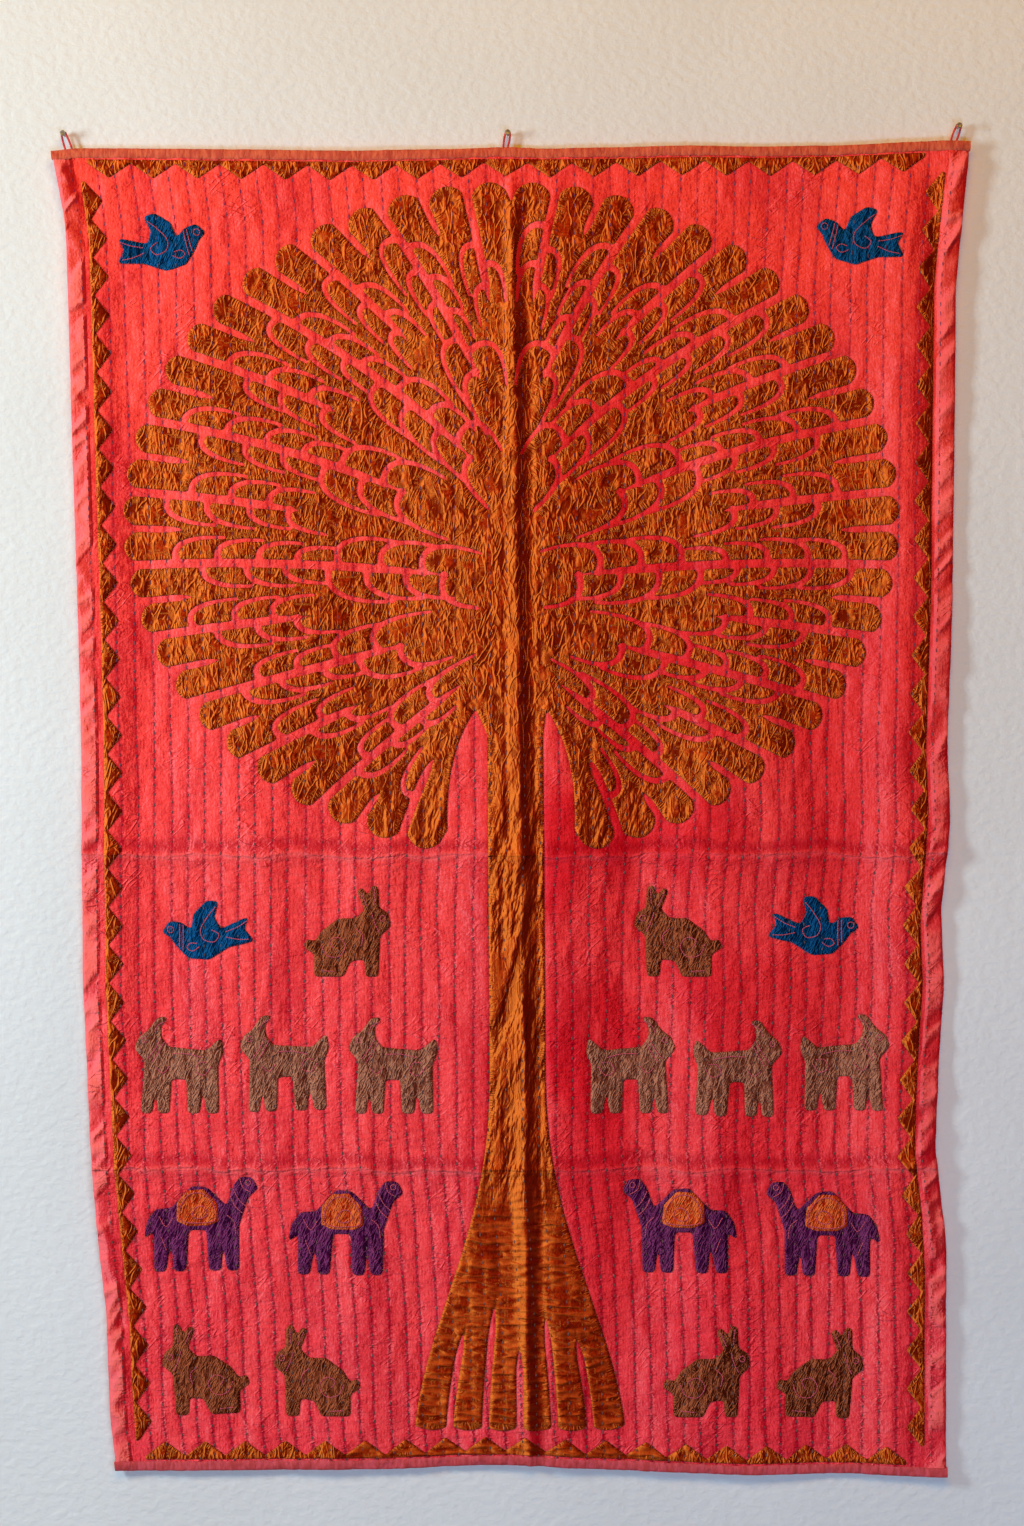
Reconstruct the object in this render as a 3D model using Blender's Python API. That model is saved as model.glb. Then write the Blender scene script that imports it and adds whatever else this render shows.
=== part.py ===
"""An applique wall hanging: a coral cotton ground with a cut-cloth tree and animals, on three nails.

Metres, +Z up. The wall is the plane y = 0 and the cloth hangs in front of it, at negative y.
The origin is where the middle nail enters the wall.

The ground is a sheet with its own uneven outline and folds. Every cut piece is a layer that
follows the ground's facets a small gap in front of it, cut out by a prism of the piece's outline.
"""
import math

import bmesh
import bpy
import numpy

MM = 0.001
GAP = 0.3 * MM                # clearance between touching pieces
GROUND_THICK = 1.5 * MM
PIECE_THICK = 1.0 * MM
BINDING_WIDTH = 10 * MM

CLOTH_HEIGHT = 1.52           # from the top edge to the bottom edge, near enough for shares of it

# the hanging's outline: height, left edge, right edge
SIDE_ROWS = (
    (-0.020, -0.5225, 0.5290),
    (-0.105, -0.5065, 0.5205),
    (-0.175, -0.5040, 0.5137),
    (-0.350, -0.4996, 0.5126),
    (-0.540, -0.4935, 0.5102),
    (-0.700, -0.4895, 0.5043),
    (-0.790, -0.4886, 0.5079),
    (-0.890, -0.4880, 0.4973),
    (-0.980, -0.4875, 0.5009),
    (-1.060, -0.4835, 0.4950),
    (-1.165, -0.4785, 0.4902),
    (-1.275, -0.4695, 0.5032),
    (-1.355, -0.4603, 0.5029),
    (-1.480, -0.4556, 0.5029),
    (-1.540, -0.4480, 0.5029),
)
# across the width as a share of it: top edge height, bottom edge height
ACROSS_ROWS = (
    (0.00, -0.0221, -1.5350),
    (0.03, -0.0186, -1.5352),
    (0.33, -0.0221, -1.5330),
    (0.44, -0.0196, -1.5285),
    (0.49, -0.0172, -1.5285),
    (0.54, -0.0194, -1.5315),
    (0.69, -0.0158, -1.5372),
    (0.77, -0.0168, -1.5396),
    (0.88, -0.0147, -1.5380),
    (0.97, -0.0102, -1.5419),
    (1.00, -0.0107, -1.5419),
)

# how far the cloth's back stands off the wall
STAND_OFF_TOP = 10 * MM
STAND_OFF_LOW = 5 * MM
STAND_OFF_DROP = 2.5          # the first runs into the second over the height divided by this
# long soft folds: x at the top, x at the bottom, upper end, lower end, half width, height
FOLD_ROWS = (
    (0.004, 0.024, -0.04, -1.50, 0.120, 0.0090),
    (0.004, 0.024, -0.06, -1.52, 0.010, 0.0036),
    (0.018, 0.040, -0.06, -1.54, 0.011, -0.0032),
    (-0.300, -0.270, -0.25, -1.30, 0.070, 0.0050),
    (-0.150, -0.170, -0.80, -1.52, 0.045, 0.0035),
    (-0.420, -0.395, -0.30, -1.10, 0.040, -0.0030),
    (0.160, 0.130, -0.70, -1.50, 0.040, -0.0035),
    (0.270, 0.250, -0.30, -1.52, 0.065, 0.0055),
    (0.390, 0.375, -0.20, -1.20, 0.042, -0.0030),
    (0.455, 0.440, -0.05, -1.50, 0.026, 0.0040),
    (0.492, 0.480, -0.03, -0.45, 0.009, -0.0035),
    (-0.478, -0.440, -0.10, -1.50, 0.020, 0.0035),
)
# folds that cross the whole width, from storage: height, half width, rise
CREASE_ROWS = (
    (-0.828, 0.045, 0.0050),
    (-1.188, 0.050, 0.0032),
)
FOLD_RAMP = 0.10              # the folds fade out over this height at their ends
FOLD_PAST_UPPER = 0.03        # the fade starts this far past the upper end
FOLD_PAST_LOWER = 0.06        # and ends this far past the lower one

COLUMNS = 22
CENTRE_LINES = (0.493, 0.503, 0.512, 0.524)     # extra columns along the middle fold
CENTRE_CLEAR = 0.015          # no other column comes this near to those
ROWS = 9
CREASE_ROW_UP = 0.018         # a row runs this far above each crease
CREASE_CLEAR = 0.03           # no other row comes this near to it, as a share of the height

# the tree: crown, boughs, trunk and roots
TREE_X = 0.004
CROWN_Z = -0.444
CROWN_HALF_WIDTH = 0.420
CROWN_HALF_HEIGHT = 0.361
CROWN_LOW_ANGLE = -80.0       # degrees from level, where the lowest bough meets the rim
BOUGHS = 13                   # on each side
TIPS_PER_BOUGH = 2
TIP_DEPTH = 26 * MM
BOUGH_ROOT_LOW = -0.650
BOUGH_ROOT_HIGH = -0.330
TRUNK_HALF_WIDTH = 0.032
ROOT_HALF_WIDTH = 0.122
ROOT_START = -1.060
TREE_FOOT = -1.484
TREE_LEAN = -0.007            # sideways for each metre of height
BOUGH_RISE_LOW = -50          # degrees from level at which the lowest bough leaves the trunk
BOUGH_RISE_GAIN = 138         # and how much steeper the topmost one is
BOUGH_REACH = 0.45            # how far it keeps that direction, as a share of its span
FLARE_PAST_FOOT = 0.03
FLARE_POWER = 1.4
TRUNK_HEIGHTS = (-0.69, -0.85, -1.00, -1.10, -1.17, -1.23, -1.28, -1.33, -1.38, -1.43, TREE_FOOT)
UNDERSIDE_REACHES = (0.12, 0.3, 0.5, 0.7, 0.9)
ROOTS = 6
# slits between the roots: place across, top height
ROOT_SLITS = ((-0.67, -1.365), (-0.33, -1.330), (0.0, -1.385), (0.33, -1.345), (0.67, -1.372))
SLIT_WIDTH = 7 * MM
SLIT_START_SHORT = 0.10       # where a bough's slit begins, as a share of the way to the rim
SLIT_START_LONG = 0.20
SLIT_END = 1.12

# cut animals, facing right, in millimetres: x, z
DOVE = ((52, 13), (41, 25), (28, 22), (17, 12), (13, 30), (-4, 44), (-18, 42), (-11, 24), (-17, 10),
        (-52, 22), (-44, 7), (-55, -8), (-24, -12), (0, -24), (24, -20), (37, -4), (43, 7))
HARE = ((47, 15), (43, 30), (33, 36), (32, 60), (25, 63), (20, 48), (14, 60), (7, 56), (16, 34),
        (6, 24), (-14, 24), (-34, 9), (-41, -3), (-51, 1), (-54, -10), (-42, -17), (-42, -43),
        (-8, -43), (0, -25), (16, -23), (17, -43), (32, -43), (34, 4))
GOAT = ((51, 24), (46, 37), (35, 45), (24, 60), (10, 61), (20, 50), (20, 38), (12, 26), (-32, 22),
        (-50, 38), (-52, 20), (-46, 6), (-47, -50), (-33, -50), (-28, -15), (-25, -50), (-11, -50),
        (-9, -11), (8, -11), (10, -50), (23, -50), (26, -13), (30, -50), (43, -50), (39, 10))
CAMEL = ((67, 36), (60, 49), (46, 50), (38, 40), (30, 16), (8, 38), (-10, 40), (-34, 15), (-52, 14),
         (-62, 0), (-67, -23), (-54, -10), (-55, -58), (-41, -58), (-34, -16), (-32, -58), (-18, -58),
         (-14, -11), (6, -11), (8, -58), (22, -58), (25, -13), (29, -58), (43, -58), (44, -6), (55, 26))
SADDLE = ((-27, 21), (-15, 35), (4, 36), (19, 20), (21, -1), (9, -6), (-16, -6), (-28, 0))
ANIMALS = {"dove": DOVE, "hare": HARE, "goat": GOAT, "camel": CAMEL}
# where they are sewn: kind, x, z, facing (1 right, -1 left), turn in degrees
HERD = (
    ("dove", -0.395, -0.135, 1, 8),
    ("dove", 0.402, -0.128, -1, -8),
    ("dove", -0.345, -0.925, -1, 6),
    ("dove", 0.352, -0.920, 1, -6),
    ("hare", -0.180, -0.925, 1, 0),
    ("hare", 0.192, -0.925, -1, 0),
    ("hare", -0.222, -1.430, -1, 0),
    ("hare", -0.350, -1.428, -1, 2),
    ("hare", 0.232, -1.430, 1, 0),
    ("hare", 0.362, -1.432, 1, -2),
    ("goat", -0.132, -1.075, -1, 0),
    ("goat", -0.256, -1.072, -1, 2),
    ("goat", -0.378, -1.075, -1, 0),
    ("goat", 0.142, -1.075, 1, 0),
    ("goat", 0.264, -1.078, 1, -2),
    ("goat", 0.388, -1.072, 1, 0),
    ("camel", -0.186, -1.252, 1, 0),
    ("camel", -0.352, -1.248, 1, 1),
    ("camel", 0.198, -1.250, -1, 0),
    ("camel", 0.362, -1.254, -1, -1),
)

# pointed borders: number of points, depth of a point, straight edge's own width
TOP_POINTS = 19
SIDE_POINTS = 33
BORDER_DEPTH = 17 * MM
BORDER_BASE = 4 * MM
# how far the borders lie in from the hanging's edges
TOP_BORDER_INSET = 12 * MM
LEFT_BORDER_INSET = 26 * MM
RIGHT_BORDER_INSET = 24 * MM
BORDER_END = 34 * MM          # the side borders stop this far from the corners
# where the top and bottom borders start and end, as shares of the width
LEVEL_BORDER_ENDS = (0.036, 0.953)

# the prisms that cut the pieces out: where they start behind the wall's plane, and their depth
CUTTER_BACK = 0.02
CUTTER_DEPTH = 0.08

# hanging loops: a cord over each nail, sewn behind the top binding
NAIL_SHANK_R = 1.1 * MM
CORD_R = 1.3 * MM
CORD_BEHIND = 0.1 * MM        # extra room between a cord and the binding in front of it
CORD_DEPTH_AT = -0.02         # the height at which that room is measured
# each nail's head, and its loop's two strands from the sewn end up, in millimetres from the nail
NAILS = (
    ("left", -0.510, -0.001,
     ((4.5, -32), (2.2, -19), (-1.0, -8)), ((6.3, -8), (9.6, -18), (10.6, -32))),
    ("middle", 0.000, 0.000,
     ((-4.6, -32), (-4.9, -15), (-4.0, -6)), ((2.2, -7), (-0.2, -17), (-1.0, -32))),
    ("right", 0.518, 0.008,
     ((-9.4, -34), (-9.0, -18), (-6.0, -7)), ((0.6, -8), (-3.0, -19), (-4.8, -34))),
)
# a nail's profile from its point to its head, in millimetres: radius, distance out of the wall
NAIL_PROFILE = ((0, -20), (1.1, -16), (1.1, 13.4), (3.3, 13.8), (3.3, 14.7), (2.8, 15), (0, 15))


def clear_scene():
    for item in list(bpy.data.objects):
        bpy.data.objects.remove(item, do_unlink=True)


def make_material(name, hex_colour, roughness, metallic=0.0):
    """A plain Principled material from an sRGB hex colour."""
    material = bpy.data.materials.new(name)
    material.use_nodes = True
    shader = material.node_tree.nodes["Principled BSDF"]
    shades = [int(hex_colour[i:i + 2], 16) / 255 for i in (0, 2, 4)]
    linear = [s / 12.92 if s < 0.04045 else ((s + 0.055) / 1.055) ** 2.4 for s in shades]
    shader.inputs["Base Color"].default_value = (*linear, 1)
    shader.inputs["Roughness"].default_value = roughness
    shader.inputs["Metallic"].default_value = metallic
    return material


def add_object(name, mesh, material):
    item = bpy.data.objects.new(name, mesh)
    item.data.materials.append(material)
    bpy.context.collection.objects.link(item)
    return item


def mesh_from(shape, name):
    """Turn a bmesh into a mesh with its faces pointing out."""
    bmesh.ops.recalc_face_normals(shape, faces=shape.faces)
    mesh = bpy.data.meshes.new(name)
    shape.to_mesh(mesh)
    shape.free()
    return mesh


def column_of(rows, index):
    return [row[index] for row in rows]


def smooth_step(value):
    value = min(max(value, 0.0), 1.0)
    return value * value * (3 - 2 * value)


# ---------------------------------------------------------------- the ground's shape

def cloth_xz(across, down):
    """A place on the cloth, from its shares of the width and of the height."""
    shares = column_of(ACROSS_ROWS, 0)
    top = numpy.interp(across, shares, column_of(ACROSS_ROWS, 1))
    low = numpy.interp(across, shares, column_of(ACROSS_ROWS, 2))
    z = top + (low - top) * down
    heights = column_of(SIDE_ROWS, 0)[::-1]
    left = numpy.interp(z, heights, column_of(SIDE_ROWS, 1)[::-1])
    right = numpy.interp(z, heights, column_of(SIDE_ROWS, 2)[::-1])
    return float(left + (right - left) * across), float(z)


def stand_off(x, z):
    """Distance of the cloth's back from the wall, folds included."""
    depth = -z / CLOTH_HEIGHT
    drop = STAND_OFF_LOW - STAND_OFF_TOP
    total = STAND_OFF_TOP + drop * smooth_step(depth * STAND_OFF_DROP)
    for x_top, x_low, upper, lower, half_width, height in FOLD_ROWS:
        middle = x_top + (x_low - x_top) * depth
        reach = smooth_step((upper + FOLD_PAST_UPPER - z) / FOLD_RAMP)
        reach *= smooth_step((z - lower + FOLD_PAST_LOWER) / FOLD_RAMP)
        total += height * reach * math.exp(-((x - middle) / half_width) ** 2)
    for crease_z, half_width, rise in CREASE_ROWS:
        total += rise * math.exp(-abs(z - crease_z) / half_width)
    return total


def grid_lines():
    """The ground's columns and rows, as shares of its width and height."""
    columns = [i / COLUMNS for i in range(COLUMNS + 1)]
    low = CENTRE_LINES[0] - CENTRE_CLEAR
    high = CENTRE_LINES[-1] + CENTRE_CLEAR
    columns = sorted([c for c in columns if not low < c < high] + list(CENTRE_LINES))
    strip = BINDING_WIDTH / CLOTH_HEIGHT
    rows = {strip + (1 - 2 * strip) * i / ROWS for i in range(ROWS + 1)} | {0.0, 1.0}
    for crease_z, _, _ in CREASE_ROWS:
        share = (-crease_z - CREASE_ROW_UP) / CLOTH_HEIGHT
        rows = {r for r in rows if abs(r - share) > CREASE_CLEAR} | {share}
    return columns, sorted(rows)


def layer_mesh(name, near, far, box=None):
    """A layer of cloth between two distances in front of the ground's back, on the same facets.

    box keeps only the cells that touch (low x, high x, low z, high z).
    """
    columns, rows = grid_lines()
    shape = bmesh.new()
    bmesh.ops.create_grid(shape, x_segments=len(columns) - 1, y_segments=len(rows) - 1, size=1)
    for vertex in shape.verts:
        column = round((vertex.co.x + 1) / 2 * (len(columns) - 1))
        row = round((1 - vertex.co.y) / 2 * (len(rows) - 1))
        x, z = cloth_xz(columns[column], rows[row])
        vertex.co = (x, -stand_off(x, z) - near, z)
    if box:
        unused = [face for face in shape.faces if not touches(face, box)]
        bmesh.ops.delete(shape, geom=unused, context="FACES")
    bmesh.ops.triangulate(shape, faces=shape.faces, quad_method="FIXED")
    front = bmesh.ops.extrude_face_region(shape, geom=shape.faces[:])["geom"]
    moved = [item for item in front if isinstance(item, bmesh.types.BMVert)]
    bmesh.ops.translate(shape, verts=moved, vec=(0, near - far, 0))
    return mesh_from(shape, name)


def touches(face, box):
    xs = [vertex.co.x for vertex in face.verts]
    zs = [vertex.co.z for vertex in face.verts]
    return max(xs) > box[0] and min(xs) < box[1] and max(zs) > box[2] and min(zs) < box[3]


def prism_mesh(name, outlines):
    """Straight prisms through the cloth, one for each closed outline of (x, z) points."""
    shape = bmesh.new()
    for outline in outlines:
        ring = [shape.verts.new((x, CUTTER_BACK, z)) for x, z in outline]
        face = shape.faces.new(ring)
        sides = bmesh.ops.extrude_face_region(shape, geom=[face])["geom"]
        moved = [item for item in sides if isinstance(item, bmesh.types.BMVert)]
        bmesh.ops.translate(shape, verts=moved, vec=(0, -CUTTER_DEPTH, 0))
    return mesh_from(shape, name)


def cut_with(item, outlines, operation):
    """Cut an object with hidden prisms of the outlines."""
    name = item.name + "_" + operation.lower()
    cutter = bpy.data.objects.new(name, prism_mesh(name, outlines))
    bpy.context.collection.objects.link(cutter)
    cutter.hide_render = True
    cutter.display_type = "WIRE"
    cut = item.modifiers.new(operation.title(), "BOOLEAN")
    cut.operation = operation
    cut.solver = "EXACT"
    cut.object = cutter


def cut_piece(name, outline, material, lift=0.0, slits=()):
    """A cut cloth piece on the ground, with its outline and slits; lift raises it over another."""
    xs = column_of(outline, 0)
    zs = column_of(outline, 1)
    near = GROUND_THICK + GAP + lift
    box = (min(xs), max(xs), min(zs), max(zs))
    item = add_object(name, layer_mesh(name, near, near + PIECE_THICK, box), material)
    cut_with(item, [outline], "INTERSECT")
    if slits:
        cut_with(item, slits, "DIFFERENCE")
    return item


# ---------------------------------------------------------------- outlines

def bend(start, control, end, share):
    """A point on a quadratic curve."""
    rest = 1 - share
    return tuple(rest * rest * start[i] + 2 * rest * share * control[i] + share * share * end[i]
                 for i in (0, 1))


def rim_angle(turn):
    return math.radians(CROWN_LOW_ANGLE + (90 - CROWN_LOW_ANGLE) * turn)


def crown_point(turn, reach, side):
    """A point of the crown; turn runs from the lowest bough to the top, reach from trunk to rim."""
    angle = rim_angle(turn)
    end = (CROWN_HALF_WIDTH * math.cos(angle), CROWN_Z + CROWN_HALF_HEIGHT * math.sin(angle))
    root_z = BOUGH_ROOT_LOW + (BOUGH_ROOT_HIGH - BOUGH_ROOT_LOW) * turn
    start = (TRUNK_HALF_WIDTH * (1 - turn), root_z)
    rise = math.radians(BOUGH_RISE_LOW + BOUGH_RISE_GAIN * turn)
    span = BOUGH_REACH * math.hypot(end[0] - start[0], end[1] - start[1])
    control = (start[0] + span * math.cos(rise), start[1] + span * math.sin(rise))
    x, z = bend(start, control, end, reach)
    return TREE_X + side * x, z


def rim_tip(turn):
    """How far the rim reaches out at this turn, for rounded leaf tips between the openings."""
    phase = (turn * BOUGHS + 0.5) * TIPS_PER_BOUGH % 1
    return TIP_DEPTH * math.sqrt(max(math.sin(math.pi * phase), 0))


def rim_points(side):
    """The scalloped rim from the lowest bough up to the top."""
    points_per_tip = 4
    count = BOUGHS * TIPS_PER_BOUGH * points_per_tip
    points = []
    for i in range(count + 1):
        turn = i / count
        x, z = crown_point(turn, 1, side)
        angle = rim_angle(turn)
        tip = rim_tip(turn)
        points.append((x + side * tip * math.cos(angle), z + tip * math.sin(angle)))
    return points


def tree_axis(z):
    return TREE_X + TREE_LEAN * z


def trunk_half(z):
    """Half the trunk's width: straight, then flaring out to the roots."""
    flare = smooth_step((ROOT_START - z) / (ROOT_START - TREE_FOOT + FLARE_PAST_FOOT))
    return TRUNK_HALF_WIDTH + (ROOT_HALF_WIDTH - TRUNK_HALF_WIDTH) * flare ** FLARE_POWER


def trunk_side(side):
    """The trunk's edge from the lowest bough down to the foot."""
    return [(tree_axis(z) + side * trunk_half(z), z) for z in TRUNK_HEIGHTS]


def root_ends():
    """Rounded ends of the roots, from left to right."""
    points = []
    half = trunk_half(TREE_FOOT)
    for i in range(ROOTS):
        for share in (0.2, 0.5, 0.8):
            across = -1 + 2 * (i + share) / ROOTS
            drop = 5 * MM * math.sin(math.pi * share)
            points.append((tree_axis(TREE_FOOT) + half * across, TREE_FOOT - drop))
    return points


def tree_outline():
    def half_outline(side):
        under = [crown_point(0, reach, side) for reach in UNDERSIDE_REACHES]
        return rim_points(side)[::-1] + under[::-1] + trunk_side(side)
    left = half_outline(-1)
    right = half_outline(1)
    return left + root_ends() + right[::-1][:-1]


def bough_start(index):
    """Where a bough's slit begins; every other one starts late."""
    return SLIT_START_SHORT if index % 4 == 1 else SLIT_START_LONG


def tapered_slit(route, width):
    """A slit along a route, from a point to its full width."""
    left = []
    right = []
    for i, (x, z) in enumerate(route):
        before = route[max(i - 1, 0)]
        after = route[min(i + 1, len(route) - 1)]
        run = math.hypot(after[0] - before[0], after[1] - before[1])
        half = max(width / 2 * smooth_step(2.2 * i / (len(route) - 1)), 0.2 * MM)
        across = ((before[1] - after[1]) / run * half, (after[0] - before[0]) / run * half)
        left.append((x + across[0], z + across[1]))
        right.append((x - across[0], z - across[1]))
    return left + right[::-1]


def bough_slits():
    slits = []
    steps = 3
    for side in (-1, 1):
        for index in range(1, BOUGHS, 2):
            turn = (index + 0.5) / BOUGHS
            first = bough_start(index)
            reaches = [first + (SLIT_END - first) * i / steps for i in range(steps + 1)]
            slits.append(tapered_slit([crown_point(turn, r, side) for r in reaches], SLIT_WIDTH))
    return slits


def root_slits():
    slits = []
    low = TREE_FOOT - 12 * MM
    for across, top in ROOT_SLITS:
        heights = [top + (low - top) * share for share in (0, 0.3, 0.65, 1)]
        route = [(tree_axis(z) + across * trunk_half(max(z, TREE_FOOT)), z) for z in heights]
        slits.append(tapered_slit(route, SLIT_WIDTH))
    return slits


def placed(outline, x, z, facing, turn):
    """An animal's outline in its place on the cloth."""
    angle = math.radians(turn)
    points = []
    for across, up in outline:
        a = across * facing * MM
        b = up * MM
        points.append((x + a * math.cos(angle) - b * math.sin(angle),
                       z + a * math.sin(angle) + b * math.cos(angle)))
    return points


def level_border(points_up):
    """The pointed border along the top or the bottom, its straight edge outwards."""
    inward = 1 if points_up else -1
    edge = []
    teeth = []
    share_of_inset = TOP_BORDER_INSET / CLOTH_HEIGHT
    down = 1 - share_of_inset if points_up else share_of_inset
    first, last = LEVEL_BORDER_ENDS
    for i in range(2 * TOP_POINTS + 1):
        across = first + (last - first) * i / (2 * TOP_POINTS)
        x, z = cloth_xz(across, down)
        edge.append((x, z))
        depth = BORDER_BASE + (BORDER_DEPTH if i % 2 else 0)
        teeth.append((x, z + inward * depth))
    return edge[::2] + teeth[::-1]


def side_border(side):
    """The pointed border down one side, its straight edge outwards."""
    edge = []
    teeth = []
    inset = LEFT_BORDER_INSET if side < 0 else RIGHT_BORDER_INSET
    length = CLOTH_HEIGHT - 2 * BORDER_END
    for i in range(2 * SIDE_POINTS + 1):
        down = (BORDER_END + length * i / (2 * SIDE_POINTS)) / CLOTH_HEIGHT
        edge_x, z = cloth_xz(0 if side < 0 else 1, down)
        x = edge_x - side * inset
        edge.append((x, z))
        depth = BORDER_BASE + (BORDER_DEPTH if i % 2 else 0)
        teeth.append((x - side * depth, z))
    return edge[::3] + teeth[::-1]


# ---------------------------------------------------------------- pieces

def make_ground(material):
    return add_object("ground_cloth", layer_mesh("ground_cloth", 0, GROUND_THICK), material)


def binding_section(across, edge_row, inner_row, up):
    """The folded strip's section at one column: round its outside, then back round its inside."""
    edge_x, edge_z = cloth_xz(across, edge_row)
    inner_x, inner_z = cloth_xz(across, inner_row)
    edge_back = -stand_off(edge_x, edge_z)
    inner_back = -stand_off(inner_x, inner_z)

    def around(spacing):
        front = GROUND_THICK + spacing
        edge_top = edge_z + up * spacing
        return [(inner_x, inner_back - front, inner_z), (edge_x, edge_back - front, edge_top),
                (edge_x, edge_back + spacing, edge_top), (inner_x, inner_back + spacing, inner_z)]

    return around(GAP + PIECE_THICK) + around(GAP)[::-1]


def make_binding(name, at_top, material):
    """A strip folded over the ground's top or bottom edge, with a leg in front and one behind."""
    columns, rows = grid_lines()
    edge_row, inner_row = (rows[0], rows[1]) if at_top else (rows[-1], rows[-2])
    shape = bmesh.new()
    rings = []
    for across in columns:
        section = binding_section(across, edge_row, inner_row, 1 if at_top else -1)
        rings.append([shape.verts.new(point) for point in section])
    inner_corners = (0, 3, 4, 7)
    for ring, after in zip(rings, rings[1:]):
        for i in range(len(ring)):
            j = (i + 1) % len(ring)
            # the facets are split the same way as the ground's, so that the gap stays even
            if (i in inner_corners) == at_top:
                shape.faces.new((ring[i], ring[j], after[j]))
                shape.faces.new((ring[i], after[j], after[i]))
            else:
                shape.faces.new((ring[i], ring[j], after[i]))
                shape.faces.new((ring[j], after[j], after[i]))
    for ring in (rings[0], rings[-1]):
        for i in range(3):
            shape.faces.new((ring[i], ring[i + 1], ring[6 - i], ring[7 - i]))
    return add_object(name, mesh_from(shape, name), material)


def make_tree(material):
    return cut_piece("tree", tree_outline(), material, slits=bough_slits() + root_slits())


def make_borders(material):
    outlines = {"border_top": level_border(False), "border_bottom": level_border(True),
                "border_left": side_border(-1), "border_right": side_border(1)}
    for name, outline in outlines.items():
        cut_piece(name, outline, material)


def make_herd(materials):
    """The animals, each with its number, and a saddle cloth on every camel."""
    counts = dict.fromkeys(ANIMALS, 0)
    for kind, x, z, facing, turn in HERD:
        counts[kind] += 1
        name = f"{kind}_{counts[kind]}"
        cut_piece(name, placed(ANIMALS[kind], x, z, facing, turn), materials[kind])
        if kind == "camel":
            outline = placed(SADDLE, x, z, facing, turn)
            name = f"saddle_cloth_{counts[kind]}"
            cut_piece(name, outline, materials["saddle"], lift=PIECE_THICK + GAP)


def loop_plane(x):
    """The y of a loop's cord, just behind the top binding's back leg."""
    return -stand_off(x, CORD_DEPTH_AT) + 2 * GAP + PIECE_THICK + CORD_R + CORD_BEHIND


def make_loop(name, nail_x, nail_z, rising, falling, material):
    """A cord that goes up one strand, over the nail's shank and down the other."""
    y = loop_plane(nail_x)
    bend_r = NAIL_SHANK_R + GAP + CORD_R
    over = [(-bend_r * math.cos(math.radians(a)) / MM, bend_r * math.sin(math.radians(a)) / MM)
            for a in range(0, 181, 30)]
    route = list(rising) + over + list(falling)
    curve = bpy.data.curves.new(name, "CURVE")
    curve.dimensions = "3D"
    curve.bevel_depth = CORD_R
    curve.bevel_resolution = 1
    curve.use_fill_caps = True
    line = curve.splines.new("POLY")
    line.points.add(len(route) - 1)
    for point, (x, z) in zip(line.points, route):
        point.co = (nail_x + x * MM, y, nail_z + z * MM, 1)
    return add_object(name, curve, material)


def make_nail(name, x, z, material):
    """A wire nail driven level into the wall, turned about its own axis."""
    shape = bmesh.new()
    points = [shape.verts.new((radius * MM, -out * MM, 0)) for radius, out in NAIL_PROFILE]
    edges = [shape.edges.new(pair) for pair in zip(points, points[1:])]
    bmesh.ops.spin(shape, geom=points + edges, cent=(0, 0, 0), axis=(0, 1, 0), angle=2 * math.pi,
                   steps=10, use_merge=True)
    bmesh.ops.remove_doubles(shape, verts=shape.verts, dist=0.01 * MM)
    bmesh.ops.triangulate(shape, faces=shape.faces)
    item = add_object(name, mesh_from(shape, name), material)
    item.location = (x, 0, z)
    return item


def main():
    clear_scene()
    coral = make_material("coral_cotton", "E0402F", 0.85)
    salmon = make_material("salmon_cotton", "D8765C", 0.85)
    ochre = make_material("ochre_sateen", "B0611B", 0.6)
    cord = make_material("coral_cord", "D8443A", 0.8)
    steel = make_material("steel", "8A8578", 0.4, 1.0)
    animal_cloths = {
        "dove": make_material("blue_cotton", "164A78", 0.75),
        "hare": make_material("brown_cotton", "4F3418", 0.75),
        "goat": make_material("taupe_cotton", "74583F", 0.75),
        "camel": make_material("purple_cotton", "481A58", 0.75),
        "saddle": make_material("orange_cotton", "C4661C", 0.75),
    }
    make_ground(coral)
    make_binding("binding_top", True, salmon)
    make_binding("binding_bottom", False, salmon)
    make_borders(ochre)
    make_tree(ochre)
    make_herd(animal_cloths)
    for side, x, z, rising, falling in NAILS:
        make_nail("nail_" + side, x, z, steel)
        make_loop("loop_" + side, x, z, rising, falling, cord)


main()
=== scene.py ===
"""An applique wall hanging on three nails: coral cotton quilted in rows, a cut tree of ochre
sateen, pointed borders and small cut animals. Metres, +Z up, the wall at y = 0."""
import math

import bmesh
import bpy
import numpy as np
from mathutils import Matrix, Vector


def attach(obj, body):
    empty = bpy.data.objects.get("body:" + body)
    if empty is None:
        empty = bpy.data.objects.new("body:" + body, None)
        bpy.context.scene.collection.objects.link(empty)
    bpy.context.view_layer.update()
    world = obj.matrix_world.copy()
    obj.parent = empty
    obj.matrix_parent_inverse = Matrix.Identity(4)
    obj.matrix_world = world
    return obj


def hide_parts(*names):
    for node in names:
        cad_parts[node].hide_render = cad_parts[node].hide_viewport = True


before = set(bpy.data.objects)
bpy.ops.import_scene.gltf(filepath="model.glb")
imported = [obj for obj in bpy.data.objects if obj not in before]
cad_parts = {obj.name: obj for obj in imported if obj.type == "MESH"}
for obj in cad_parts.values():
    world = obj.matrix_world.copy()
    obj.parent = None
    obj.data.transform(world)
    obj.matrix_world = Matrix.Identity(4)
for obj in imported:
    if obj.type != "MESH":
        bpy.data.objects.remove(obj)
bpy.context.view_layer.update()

MM = 0.001
CLOTH_HEIGHT = 1.52

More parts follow.
